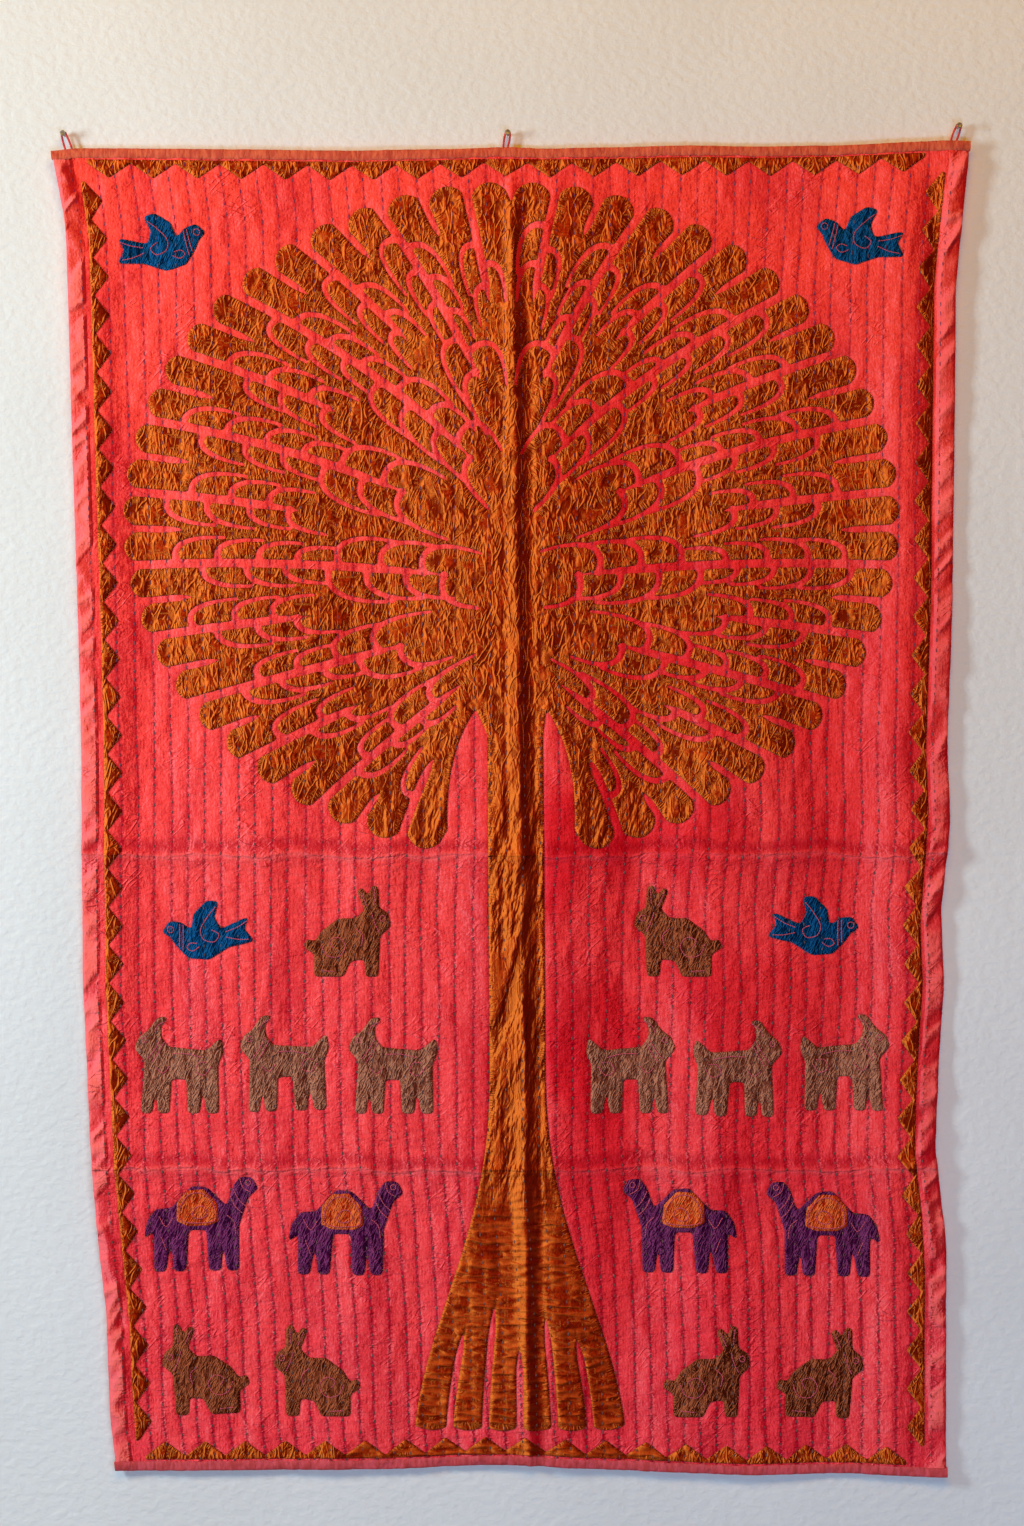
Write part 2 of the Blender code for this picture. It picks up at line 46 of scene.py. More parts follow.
# ---------------------------------------------------------------- the cloth's shape

# the hanging's outline: height, left edge, right edge
SIDE_ROWS = (
    (-0.020, -0.5225, 0.5290), (-0.105, -0.5065, 0.5205), (-0.175, -0.5040, 0.5137),
    (-0.350, -0.4996, 0.5126), (-0.540, -0.4935, 0.5102), (-0.700, -0.4895, 0.5043),
    (-0.790, -0.4886, 0.5079), (-0.890, -0.4880, 0.4973), (-0.980, -0.4875, 0.5009),
    (-1.060, -0.4835, 0.4950), (-1.165, -0.4785, 0.4902), (-1.275, -0.4695, 0.5032),
    (-1.355, -0.4603, 0.5029), (-1.480, -0.4556, 0.5029), (-1.540, -0.4480, 0.5029),
)
# share of the width, top edge's height, bottom edge's height
ACROSS_ROWS = (
    (0.00, -0.0221, -1.5350), (0.03, -0.0186, -1.5352), (0.33, -0.0221, -1.5330),
    (0.44, -0.0196, -1.5285), (0.49, -0.0172, -1.5285), (0.54, -0.0194, -1.5315),
    (0.69, -0.0158, -1.5372), (0.77, -0.0168, -1.5396), (0.88, -0.0147, -1.5380),
    (0.97, -0.0102, -1.5419), (1.00, -0.0107, -1.5419),
)
STAND_OFF_TOP = 10 * MM
STAND_OFF_LOW = 5 * MM
STAND_OFF_DROP = 2.5          # the first runs into the second over the height divided by this
# long soft folds: x at the top, x at the bottom, upper end, lower end, half width, height
FOLD_ROWS = (
    (0.004, 0.024, -0.04, -1.50, 0.120, 0.0090),
    (0.004, 0.024, -0.06, -1.52, 0.010, 0.0036),
    (0.018, 0.040, -0.06, -1.54, 0.011, -0.0032),
    (-0.300, -0.270, -0.25, -1.30, 0.070, 0.0050),
    (-0.150, -0.170, -0.80, -1.52, 0.045, 0.0035),
    (-0.420, -0.395, -0.30, -1.10, 0.040, -0.0030),
    (0.160, 0.130, -0.70, -1.50, 0.040, -0.0035),
    (0.270, 0.250, -0.30, -1.52, 0.065, 0.0055),
    (0.390, 0.375, -0.20, -1.20, 0.042, -0.0030),
    (0.455, 0.440, -0.05, -1.50, 0.026, 0.0040),
    (0.492, 0.480, -0.03, -0.45, 0.009, -0.0035),
    (-0.478, -0.440, -0.10, -1.50, 0.020, 0.0035),
)
# folds from storage: height, half width, rise
CREASE_ROWS = ((-0.828, 0.045, 0.0050), (-1.188, 0.050, 0.0032))
FOLD_RAMP = 0.10              # the folds fade out over this height at their ends
FOLD_PAST_UPPER = 0.03        # the fade starts this far past the upper end
FOLD_PAST_LOWER = 0.06        # and ends this far past the lower one

# short tucks near the side hems: start x, z, end x, z, width, height
TUCKS = (
    (-0.4750, -1.208, -0.4480, -1.338, 0.006, 0.0030),
    (-0.4480, -1.338, -0.4434, -1.374, 0.004, -0.0035),
    (0.4776, -1.218, 0.4894, -1.294, 0.005, 0.0026),
    (0.4894, -1.294, 0.4947, -1.312, 0.004, -0.0030),
    (0.4990, -0.860, 0.4760, -0.905, 0.006, 0.0024),
    (0.4900, -1.140, 0.4700, -1.175, 0.006, 0.0026),
    (-0.4800, -0.962, -0.4620, -0.985, 0.005, 0.0020),
    (-0.5180, -0.030, -0.4900, -0.105, 0.008, 0.0030),
    (0.5240, -0.030, 0.5010, -0.100, 0.008, 0.0026),
)
TUCK_RAMP = 0.02

# rows of running stitches, as shares of the width
ROW_COUNT = 48
FIRST_ROW = 0.0445
ROW_PITCH = 0.01943
ROW_WANDER = 1.6 * MM
STITCH_PITCH = 11.2 * MM
HEM = 16.5 * MM
CREST = 1.5 * MM              # the ground's face in front of its back
# the quilted ground's face: heights and widths of its dips and swells
SEAM_DIP = 0.55 * MM
SEAM_WIDTH = 2.0 * MM
PUFF = 0.22 * MM              # how far the cloth stands up between two rows
PUFF_WIDTH = 5.5 * MM
HEM_RISE = 0.5 * MM
HEM_DIP = 1.2 * MM
HEM_DIP_WIDTH = 2.4 * MM
HEM_RIDGES = 1.8 * MM
HEM_WAVES = 1.5 * MM
# smooth waves of the slack cloth: height, pitch across, pitch up, shift, seed
SLACK_WAVES = ((1.7 * MM, 0.072, 0.30, 0, 11), (0.9 * MM, 0.034, 0.12, 5, 12))
# slanting ridges in it: height, slant, pitch across, pitch up, seed, sharpness
SLACK_RIDGES = ((0.7 * MM, 0.35, 0.05, 0.085, 13, 4), (0.9 * MM, -0.25, 0.021, 0.060, 15, 2))
PUCKERS = 0.35 * MM           # short waves across the rows, twice as high lower down
# the storage folds' crests
CREST_WANDER = 4.0 * MM
CREASE_RISE = 2.6 * MM
CREASE_HALF_WIDTH = 7 * MM
MIDDLE_X = 0.005
MIDDLE_LEAN = -0.0135
MIDDLE_HALF_WIDTH = 5 * MM
RIDGES_BESIDE = (-0.020, -0.0105, 0.013, 0.022)
RIDGE_RISE = 1.2 * MM
RIDGE_WANDER = 2.2 * MM
RIDGE_HALF_WIDTH = 2.6 * MM


def smooth_step(value):
    value = np.clip(value, 0.0, 1.0)
    return value * value * (3 - 2 * value)


def mound(off, half_width):
    """A soft ridge: 1 on its line and next to 0 at two half widths from it."""
    return np.exp(-(off / half_width) ** 2)


def softened(values, width):
    """A row of numbers with its corners rounded over a few places."""
    reach = np.arange(-3 * width, 3 * width + 1)
    weights = mound(reach, width)
    padded = np.pad(values, 3 * width, mode="edge")
    return np.convolve(padded, weights / weights.sum(), mode="valid")


LEVELS = np.linspace(-1.6, 0.02, 1081)
SHARES = np.linspace(-0.02, 1.02, 521)
LEFT_EDGE, RIGHT_EDGE = (
    softened(np.interp(LEVELS, *np.array(SIDE_ROWS)[::-1, (0, side)].T), 7) for side in (1, 2))
TOP_EDGE, LOW_EDGE = (
    softened(np.interp(SHARES, *np.array(ACROSS_ROWS)[:, (0, end)].T), 5) for end in (1, 2))


def left_at(z):
    return np.interp(z, LEVELS, LEFT_EDGE)


def right_at(z):
    return np.interp(z, LEVELS, RIGHT_EDGE)


def top_at(share):
    return np.interp(share, SHARES, TOP_EDGE)


def low_at(share):
    return np.interp(share, SHARES, LOW_EDGE)


def x_at(share, z):
    left = left_at(z)
    return left + (right_at(z) - left) * share


def ripples(u, v, seed):
    """Smooth random waves from -1 to 1 over one lattice point to each whole number."""
    table = np.random.default_rng(seed).uniform(-1, 1, (64, 64))
    column = np.floor(u).astype(int)
    row = np.floor(v).astype(int)
    s = smooth_step(u - column)
    t = smooth_step(v - row)

    def level(j):
        near, far = (table[(column + i) % 64, (row + j) % 64] for i in (0, 1))
        return near * (1 - s) + far * s
    return level(0) * (1 - t) + level(1) * t


def creases(u, v, seed, sharpness):
    """Thin random ridges from 0 to 1."""
    return (1 - np.abs(ripples(u, v, seed))) ** sharpness


def slanted(x, z, slant, across, up):
    """Places in a lattice that leans, for waves of these pitches."""
    return (x + slant * z) / across, (z - slant * x) / up


def wander(z, pitch, seed, column=0.5):
    """Smooth random numbers from -1 to 1 down a line."""
    return ripples(0 * z + column, z / pitch, seed)


def stand_off(x, z):
    """Distance of the cloth's back from the wall, the long folds included."""
    depth = -z / CLOTH_HEIGHT
    total = STAND_OFF_TOP + (STAND_OFF_LOW - STAND_OFF_TOP) * smooth_step(depth * STAND_OFF_DROP)
    for x_top, x_low, upper, lower, half_width, height in FOLD_ROWS:
        reach = smooth_step((upper + FOLD_PAST_UPPER - z) / FOLD_RAMP)
        reach = reach * smooth_step((z - lower + FOLD_PAST_LOWER) / FOLD_RAMP)
        total = total + height * reach * mound(x - x_top - (x_low - x_top) * depth, half_width)
    for crease_z, half_width, rise in CREASE_ROWS:
        total = total + rise * np.exp(-np.abs(z - crease_z) / half_width)
    return total


def row_wander(index, z):
    return ROW_WANDER * ripples(index + 7, z / 0.11 + 30, 5)


def row_x(index, z):
    """Where a row of stitches crosses a height."""
    return x_at(FIRST_ROW + index * ROW_PITCH, z) + row_wander(index, z)


def seam_distance(x, z):
    """Distance to the nearest row of stitches, and that row's number."""
    left = left_at(z)
    share = (x - left) / (right_at(z) - left)
    index = np.clip(np.round((share - FIRST_ROW) / ROW_PITCH), 0, ROW_COUNT - 1)
    return np.abs(x - row_x(index, z)), index


def edge_distance(x, z):
    """How far in from the nearer side edge a place is."""
    return np.minimum(x - left_at(z), right_at(z) - x)


def tuck_height(x, z):
    """Short folds pinched in near the hems, steep on one flank."""
    total = np.zeros(np.broadcast(x, z).shape)
    for x1, z1, x2, z2, width, height in TUCKS:
        length = math.hypot(x2 - x1, z2 - z1)
        along = ((x - x1) * (x2 - x1) + (z - z1) * (z2 - z1)) / length
        across = ((x - x1) * (z2 - z1) - (z - z1) * (x2 - x1)) / length
        ends = smooth_step(along / TUCK_RAMP + 0.5)
        ends = ends * smooth_step((length - along) / TUCK_RAMP + 0.5)
        total += height * ends * mound(across, width) * (1 - 0.5 * np.tanh(across / width))
    return total


def crease_crests(x, z):
    """The storage folds' crests: two across, and one down the middle with ridges beside it,
    which is highest between the second of them and the roots."""
    total = np.zeros(np.broadcast(x, z).shape)
    for crease_z, _, _ in CREASE_ROWS:
        line = crease_z + CREST_WANDER * ripples(x / 0.06 + 3, 0 * x + 0.5, 16)
        total += CREASE_RISE * mound(z - line, CREASE_HALF_WIDTH)
    middle = MIDDLE_X + MIDDLE_LEAN * z + CREST_WANDER * wander(z, 0.07, 17)
    rise = 1.3 + 1.5 * smooth_step((-z - 0.85) / 0.2) - smooth_step((-z - 1.18) / 0.1)
    rise = (rise + wander(z, 0.05, 18, 3.5)) * MM
    total += rise * np.exp(-np.abs(x - middle) / MIDDLE_HALF_WIDTH)
    for number, aside in enumerate(RIDGES_BESIDE):
        line = middle + aside + RIDGE_WANDER * wander(z, 0.06, 30 + number)
        here = smooth_step(0.3 + wander(z, 0.10, 40 + number))
        total += RIDGE_RISE * here * mound(x - line, RIDGE_HALF_WIDTH)
    return total


def quilted(x, z):
    """Distance of the ground's face from the wall, quilting and slack included."""
    gap, row = seam_distance(x, z)
    edge = edge_distance(x, z)
    pinch = 0.72 + 0.28 * np.cos(2 * math.pi * (z / STITCH_PITCH + 0.37 * row))
    total = stand_off(x, z) + CREST + tuck_height(x, z) + crease_crests(x, z)
    inner = smooth_step((edge - HEM - 6 * MM) / (20 * MM))
    drawn = 0.5 + 0.5 * smooth_step((-z - 0.25) / 0.6)
    total -= inner * SEAM_DIP * drawn * pinch * mound(gap, SEAM_WIDTH)
    total += inner * PUFF * (1 - mound(gap, PUFF_WIDTH)) * (
        1 + 0.7 * ripples(x / 0.0196, z / 0.08, 3))
    hem = 1 - smooth_step((edge - HEM) / (7 * MM))
    total += HEM_RISE * hem - HEM_DIP * pinch * mound(edge - HEM, HEM_DIP_WIDTH)
    total += hem * HEM_RIDGES * creases((z + 1.1 * edge) / 0.040, edge / 0.04, 21, 4)
    total += hem * HEM_WAVES * ripples((z + edge) / 0.019, edge / 0.03 + 9, 22)
    for height, across, up, shift, seed in SLACK_WAVES:
        total += height * ripples(x / across + shift, z / up, seed)
    for height, slant, across, up, seed, sharpness in SLACK_RIDGES:
        total += height * creases(*slanted(x, z, slant, across, up), seed, sharpness)
    low = smooth_step((-z - 1.0) / 0.3)
    return total + PUCKERS * (1 + low) * ripples(x / 0.028, z / 0.0085, 14)


# ---------------------------------------------------------------- cut edges

EDGE_REACH = 12 * MM
CELL = 1.5 * MM


class Cut:
    """How far inside a cut edge each place is, in metres, on a fine raster; negative outside."""

    def __init__(self, low, high):
        self.low = np.array(low) - EDGE_REACH - CELL
        size = np.ceil((np.array(high) + EDGE_REACH + CELL - self.low) / CELL).astype(int) + 1
        self.high = self.low + (size - 1) * CELL
        self.gap = np.full(size, EDGE_REACH)
        self.run = np.zeros(size)
        self.inside = np.zeros(size, bool)

    def window(self, points, reach):
        """The part of the raster round some points, and its places."""
        points = np.array(points)
        first = np.floor((points.min(0) - reach - self.low) / CELL).astype(int)
        last = np.ceil((points.max(0) + reach - self.low) / CELL).astype(int) + 1
        first = np.clip(first, 0, self.gap.shape)
        last = np.clip(last, first, self.gap.shape)
        area = (slice(first[0], last[0]), slice(first[1], last[1]))
        x = self.low[0] + CELL * np.arange(first[0], last[0])[:, None]
        z = self.low[1] + CELL * np.arange(first[1], last[1])[None, :]
        return area, x, z

    def draw(self, grid, start, end, so_far, near=0.0, far=0.0):
        """Bring a straight stretch of edge to a grid of distances, or a slit with these half
        widths at its ends; the length so far runs along it."""
        (x1, z1), (x2, z2) = start, end
        area, x, z = self.window([start, end], EDGE_REACH)
        length = max(math.hypot(x2 - x1, z2 - z1), 1e-9)
        share = np.clip(((x - x1) * (x2 - x1) + (z - z1) * (z2 - z1)) / length ** 2, 0, 1)
        away = np.hypot(x - x1 - share * (x2 - x1), z - z1 - share * (z2 - z1))
        away = away - (near + (far - near) * share)
        nearer = away < grid[area]
        grid[area] = np.where(nearer, away, grid[area])
        self.run[area] = np.where(nearer, so_far + share * length, self.run[area])
        return so_far + length

    def ring(self, points):
        """Draw a closed outline and fill its inside."""
        so_far = 0.0
        for (x1, z1), (x2, z2) in zip(points, points[1:] + points[:1]):
            so_far = self.draw(self.gap, (x1, z1), (x2, z2), so_far)
            rows = np.arange(self.gap.shape[1])
            levels = self.low[1] + CELL * rows
            crossed = (levels >= min(z1, z2)) & (levels < max(z1, z2))
            for row, level in zip(rows[crossed], levels[crossed]):
                at = x1 + (x2 - x1) * (level - z1) / (z2 - z1)
                first = max(int(math.ceil((at - self.low[0]) / CELL)), 0)
                self.inside[first:, row] ^= True

    def triangle(self, a, b, c):
        """Fill a triangle's inside, its sides included."""
        area, x, z = self.window([a, b, c], CELL)
        turns = np.array([(q[0] - p[0]) * (z - p[1]) - (q[1] - p[1]) * (x - p[0])
                          for p, q in ((a, b), (b, c), (c, a))])
        slack = 1e-9
        self.inside[area] |= (turns >= -slack).all(0) | (turns <= slack).all(0)

    def close(self):
        """Sign the distances once the outline is whole."""
        self.depth = np.where(self.inside, self.gap, -np.abs(self.gap))

    def slit(self, route, halves, so_far=0.0):
        """Take away a slit along a route, with its half width at each point."""
        for start, end, near, far in zip(route, route[1:], halves, halves[1:]):
            so_far = self.draw(self.depth, start, end, so_far, near, far)

    def between(self, grid, x, z):
        """A grid's values at any places, between the raster's."""
        u = np.clip((x - self.low[0]) / CELL, 0, grid.shape[0] - 1.001)
        v = np.clip((z - self.low[1]) / CELL, 0, grid.shape[1] - 1.001)
        i = u.astype(int)
        j = v.astype(int)
        s = u - i
        t = v - j
        low = grid[i, j] * (1 - s) + grid[i + 1, j] * s
        high = grid[i, j + 1] * (1 - s) + grid[i + 1, j + 1] * s
        return low * (1 - t) + high * t

    def at(self, x, z):
        return self.between(self.depth, x, z)

    def gathers_at(self, x, z):
        """The length along the nearest cut edge, and a share that falls to 0 where that
        length jumps from one edge to another."""
        steps = np.hypot(*np.gradient(self.run, CELL))
        calm = rounded((steps < 1.8).astype(float), 1)
        return self.between(self.run, x, z), smooth_step(2.5 * self.between(calm, x, z) - 1.5)


def rounded(grid, width):
    """A grid with its corners rounded over a few places both ways."""
    return np.apply_along_axis(softened, 1, np.apply_along_axis(softened, 0, grid, width), width)


def cut_of_node(name, rounding):
    """The cut edge of a piece, from its solid's outline."""
    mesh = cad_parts[name].data
    mesh.calc_loop_triangles()
    corners = np.array([vertex.co for vertex in mesh.vertices])
    facets = corners[np.array([item.vertices[:] for item in mesh.loop_triangles])]
    normals = np.cross(facets[:, 1] - facets[:, 0], facets[:, 2] - facets[:, 0])
    normals /= np.maximum(np.linalg.norm(normals, axis=1), 1e-12)[:, None]
    flat = facets[:, :, (0, 2)]
    cut = Cut(flat.min((0, 1)), flat.max((0, 1)))
    for facet in flat[normals[:, 1] < -0.4]:
        cut.triangle(*facet)
    so_far = 0.0
    for facet in flat[np.abs(normals[:, 1]) < 0.3]:
        sides = [(facet[i], facet[j]) for i, j in ((0, 1), (1, 2), (2, 0))]
        longest = max(sides, key=lambda pair: np.linalg.norm(pair[1] - pair[0]))
        so_far = cut.draw(cut.gap, *longest, so_far)
    cut.close()
    if rounding:
        cut.depth = rounded(cut.depth, rounding)
    return cut


# ---------------------------------------------------------------- the tree's own outline

TREE_X = 0.004
CROWN_Z = -0.444
CROWN_HALF_WIDTH = 0.420
CROWN_HALF_HEIGHT = 0.361
CROWN_LOW_ANGLE = -80.0       # degrees from level, where the lowest bough meets the rim
BOUGHS = 13                   # on each side
TIPS_PER_BOUGH = 2
TIP_DEPTH = 26 * MM
BOUGH_ROOT_LOW = -0.650
BOUGH_ROOT_HIGH = -0.330
BOUGH_RISE_LOW = -50          # degrees from level at which the lowest bough leaves the trunk
BOUGH_RISE_GAIN = 138         # and how much steeper the topmost one is
BOUGH_REACH = 0.45            # how far it keeps that direction, as a share of its span
BOUGH_STARTS = (0.55, 0.08, 0.55, 0.25)     # where the slits between boughs begin, in turn
RIM_REACH = 1.10              # how far slits run, past the rim at 1
TIP_SLIT_START = 0.885
TRUNK_TOP = -0.69
TRUNK_HALF_WIDTH = 0.032
TREE_LEAN = -0.007            # sideways for each metre of height
ROOT_HALF_WIDTH = 0.122
ROOT_START = -1.060
TREE_FOOT = -1.484
FLARE_PAST_FOOT = 0.03
FLARE_POWER = 1.4
ROOTS = 6
ROOT_END_DROP = 5 * MM
ROOT_SLITS = ((-0.67, -1.365), (-0.33, -1.330), (0.0, -1.385), (0.33, -1.345), (0.67, -1.372))
SLIT = 8.0 * MM
SLIT_POINT = 0.3 * MM         # half its width where it starts
LEAF_PITCH = 0.047            # between the side slits of a bough
FIRST_LEAF = 0.030
LAST_LEAF = 0.022             # back from the rim
LEAF_HALF_WIDTH = 0.042       # at most
LEAF_LEAST = 0.015
LEAF_GAP = 7 * MM             # cloth left between two boughs' leaves


def rim_angle(turn):
    return math.radians(CROWN_LOW_ANGLE + (90 - CROWN_LOW_ANGLE) * turn)


def crown_point(turn, reach, side):
    """A point of the crown; turn from the lowest bough to the top, reach from trunk to rim."""
    angle = rim_angle(turn)
    end = (CROWN_HALF_WIDTH * math.cos(angle), CROWN_Z + CROWN_HALF_HEIGHT * math.sin(angle))
    root_z = BOUGH_ROOT_LOW + (BOUGH_ROOT_HIGH - BOUGH_ROOT_LOW) * turn
    start = (TRUNK_HALF_WIDTH * (1 - turn), root_z)
    rise = math.radians(BOUGH_RISE_LOW + BOUGH_RISE_GAIN * turn)
    span = BOUGH_REACH * math.dist(start, end)
    bend = (start[0] + span * math.cos(rise), start[1] + span * math.sin(rise))
    rest = 1 - reach
    x, z = (rest * rest * start[i] + 2 * rest * reach * bend[i] + reach * reach * end[i]
            for i in (0, 1))
    return TREE_X + side * x, z


def rim_points(side):
    """The rim of rounded leaf tips from the lowest bough up to the top."""
    count = BOUGHS * TIPS_PER_BOUGH * 8
    points = []
    for i in range(count + 1):
        turn = i / count
        x, z = crown_point(turn, 1, side)
        phase = (turn * BOUGHS + 0.5) * TIPS_PER_BOUGH % 1
        tip = TIP_DEPTH * math.sqrt(max(math.sin(math.pi * phase), 0))
        angle = rim_angle(turn)
        points.append((x + side * tip * math.cos(angle), z + tip * math.sin(angle)))
    return points


def trunk_point(across, z):
    """A place on the trunk or roots; across from -1 to 1 between their edges."""
    low = max(z, TREE_FOOT)
    flare = float(smooth_step((ROOT_START - low) / (ROOT_START - TREE_FOOT + FLARE_PAST_FOOT)))
    half = TRUNK_HALF_WIDTH + (ROOT_HALF_WIDTH - TRUNK_HALF_WIDTH) * flare ** FLARE_POWER
    return TREE_X + TREE_LEAN * z + across * half, z


def tree_outline():
    """The whole outline without its slits."""
    def half(side):
        under = [crown_point(0, 0.05 + 0.05 * i, side) for i in range(19, 0, -1)]
        trunk = [trunk_point(side, z) for z in np.linspace(TRUNK_TOP, TREE_FOOT, 60)]
        return rim_points(side)[::-1] + under + trunk
    ends = []
    for i in range(ROOTS):
        for share in np.linspace(0.1, 0.9, 6):
            x, z = trunk_point(-1 + 2 * (i + share) / ROOTS, TREE_FOOT)
            ends.append((x, z - ROOT_END_DROP * math.sin(math.pi * share)))
    return half(-1) + ends + half(1)[::-1][:-1]


def bough_start(index):
    return BOUGH_STARTS[index % len(BOUGH_STARTS)]


def slit_halves(count, width):
    """Half widths along a slit that starts in a point and runs off the cloth."""
    return SLIT_POINT + (width / 2 - SLIT_POINT) * smooth_step(3.2 * np.linspace(0, 1, count))


def neighbour_gap(index, reach, step):
    """How far, in turns, it is to the next bough's slit at this reach."""
    for away in range(1, 5):
        other = index + step * away
        if 0 <= other < BOUGHS and bough_start(other) < reach - 0.02:
            return away / BOUGHS
        if other < 0:
            return (away - 0.5) / BOUGHS
        if other >= BOUGHS:
            return 2 * (away - 0.5) / BOUGHS
    return 4 / BOUGHS


def leaf_slits(index, side, seed):
    """The curved slits that leave a bough's own slit on both sides and trail back towards the
    trunk, so that the cloth between them is left as leaves."""
    rng = np.random.default_rng(seed)
    turn = (index + 0.5) / BOUGHS
    reaches = np.linspace(0.05, 1.0, 80)
    line = np.array([crown_point(turn, reach, side) for reach in reaches])
    lengths = np.concatenate([[0], np.cumsum(np.hypot(*np.diff(line, axis=0).T))])
    first = float(np.interp(bough_start(index), reaches, lengths)) + FIRST_LEAF
    for step in (-1, 1):
        at = first + (0.5 * LEAF_PITCH if step > 0 else 0.0)
        while at < lengths[-1] - LAST_LEAF:
            reach = float(np.interp(at, lengths, reaches))
            gap = neighbour_gap(index, reach, step)
            room = math.dist(crown_point(turn, reach, side),
                             crown_point(turn + step * gap, reach, side))
            sideways = min(0.5 * room - LEAF_GAP, LEAF_HALF_WIDTH) * rng.uniform(0.90, 1.06)
            back = 1.25 * sideways + 0.016
            route = []
            for share in np.linspace(0, 1, 10):
                there = at + 0.16 * back * math.sin(math.pi * share) - back * share ** 1.8
                here = float(np.interp(there, lengths, reaches))
                aside = math.sin(share * math.pi / 2) ** 0.9
                route.append(crown_point(turn + step * gap * sideways / room * aside, here, side))
            if sideways > LEAF_LEAST:
                yield route
            at += LEAF_PITCH * rng.uniform(0.90, 1.10)


def cut_tree():
    """The tree's cut edge with every slit between boughs, leaves and roots."""
    outline = tree_outline()
    points = np.array(outline)
    cut = Cut(points.min(0), points.max(0))
    cut.ring(outline)
    cut.close()
    phase = 0.0               # shifts the gathers along each slit, so that no two match
    for side in (-1, 1):
        for index in range(BOUGHS):
            turn = (index + 0.5) / BOUGHS
            reaches = np.linspace(bough_start(index), RIM_REACH, 26)
            route = [crown_point(turn, reach, side) for reach in reaches]
            cut.slit(route, slit_halves(26, SLIT + 2 * MM), phase)
            for route in leaf_slits(index, side, 40 + index + 20 * side):
                phase += 0.37
                cut.slit(route, SLIT / 2 * np.linspace(1.1, 0.48, len(route)), phase)
        for bough in range(1, BOUGHS):
            phase += 0.37
            reaches = np.linspace(TIP_SLIT_START, RIM_REACH, 9)
            route = [crown_point(bough / BOUGHS, reach, side) for reach in reaches]
            cut.slit(route, slit_halves(9, SLIT), phase)
    for across, top in ROOT_SLITS:
        route = [trunk_point(across, z) for z in np.linspace(top, TREE_FOOT - 12 * MM, 12)]
        cut.slit(route, slit_halves(12, SLIT), across)
    cut.depth = rounded(cut.depth, 1)
    return cut


# ---------------------------------------------------------------- finishes

SMOOTH = {"interpolation_type": "SMOOTHSTEP"}


def linear(hex_colour):
    """An sRGB hex colour as linear light."""
    shades = [int(hex_colour[i:i + 2], 16) / 255 for i in (0, 2, 4)]
    return tuple(s / 12.92 if s < 0.04045 else ((s + 0.055) / 1.055) ** 2.4 for s in shades) + (1,)


def add(tree, kind, inputs=(), out=0, **settings):
    """Add a node with its settings and links, and give one of its outputs. An input is a plain
    value or another node's output; a MapRange takes a value, from, from, to and to."""
    made = tree.nodes.new("ShaderNode" + kind)
    for key, value in settings.items():
        setattr(made, key, value)
    for key, value in inputs.items() if isinstance(inputs, dict) else enumerate(inputs):
        if isinstance(value, bpy.types.NodeSocket):
            tree.links.new(value, made.inputs[key])
        else:
            made.inputs[key].default_value = value
    return made.outputs[out]


def layered(tree, body, *layers):
    """Lay colours over a body in turn: pattern, its strength at 0 and at 1, colour."""
    for pattern, low, high, colour in layers:
        strength = add(tree, "MapRange", (pattern, 0.0, 1.0, low, high))
        if isinstance(colour, str):
            colour = linear(colour)
        body = add(tree, "Mix", {0: strength, 6: body, 7: colour}, 2, data_type="RGBA")
    return body


def noise(tree, spot, size, detail, turn):
    """Random numbers about 0.5; size is a patch's (x, y, z) in metres, turned in the face."""
    scaled = add(tree, "Mapping", {0: spot, 2: (0.0, turn, 0.0), 3: size}, vector_type="TEXTURE")
    return add(tree, "TexNoise", {"Vector": scaled, "Scale": 1.0, "Detail": detail})


def grain(tree, spot, size, detail=2.0, low=0.3, high=0.7, turn=0.0):
    """Random patches from 0 to 1."""
    return add(tree, "MapRange", (noise(tree, spot, size, detail, turn), low, high), **SMOOTH)


def ridge(tree, value, line, width):
    """1 where a value is on its line, falling to 0 a width away."""
    off = add(tree, "Math", (value, line), operation="SUBTRACT")
    off = add(tree, "Math", (off,), operation="ABSOLUTE")
    return add(tree, "MapRange", (off, width, 0.0), **SMOOTH)


def wrinkles(tree, spot, size, turn=0.0, width=0.09):
    """Thin ridges from 0 to 1 that follow the longer side of patches of this size."""
    return ridge(tree, noise(tree, spot, size, 1.0, turn), 0.5, width)


def gathers(tree, pitch, reach, width):
    """Ridges that run in from a cut edge, from its own length and inset, in millimetres."""
    run, inset, gathered = (add(tree, "Attribute", out="Fac", attribute_name=name)
                            for name in ("run", "inset", "gathered"))
    along = add(tree, "CombineXYZ", (run, inset))
    ridges = wrinkles(tree, along, (pitch, reach, 1.0), 0.0, width)
    return inset, add(tree, "Math", (ridges, gathered), operation="MULTIPLY")


def storage_creases(tree, height, above=0.0, reach=3 * MM):
    """From 0 to 1 along the two creases where the hanging has lain folded."""
    first, second = (ridge(tree, height, crease_z + above, reach) for crease_z, _, _ in CREASE_ROWS)
    return add(tree, "Math", (first, second), operation="ADD")


def new_material(name, sockets):
    """A material with its shader's sockets set; also its tree, shader and Object coordinates."""
    material = bpy.data.materials.new(name)
    material.use_nodes = True
    tree = material.node_tree
    shader = tree.nodes["Principled BSDF"]
    for key, value in sockets.items():
        shader.inputs[key].default_value = value
    return material, tree, shader, add(tree, "TexCoord", out="Object")


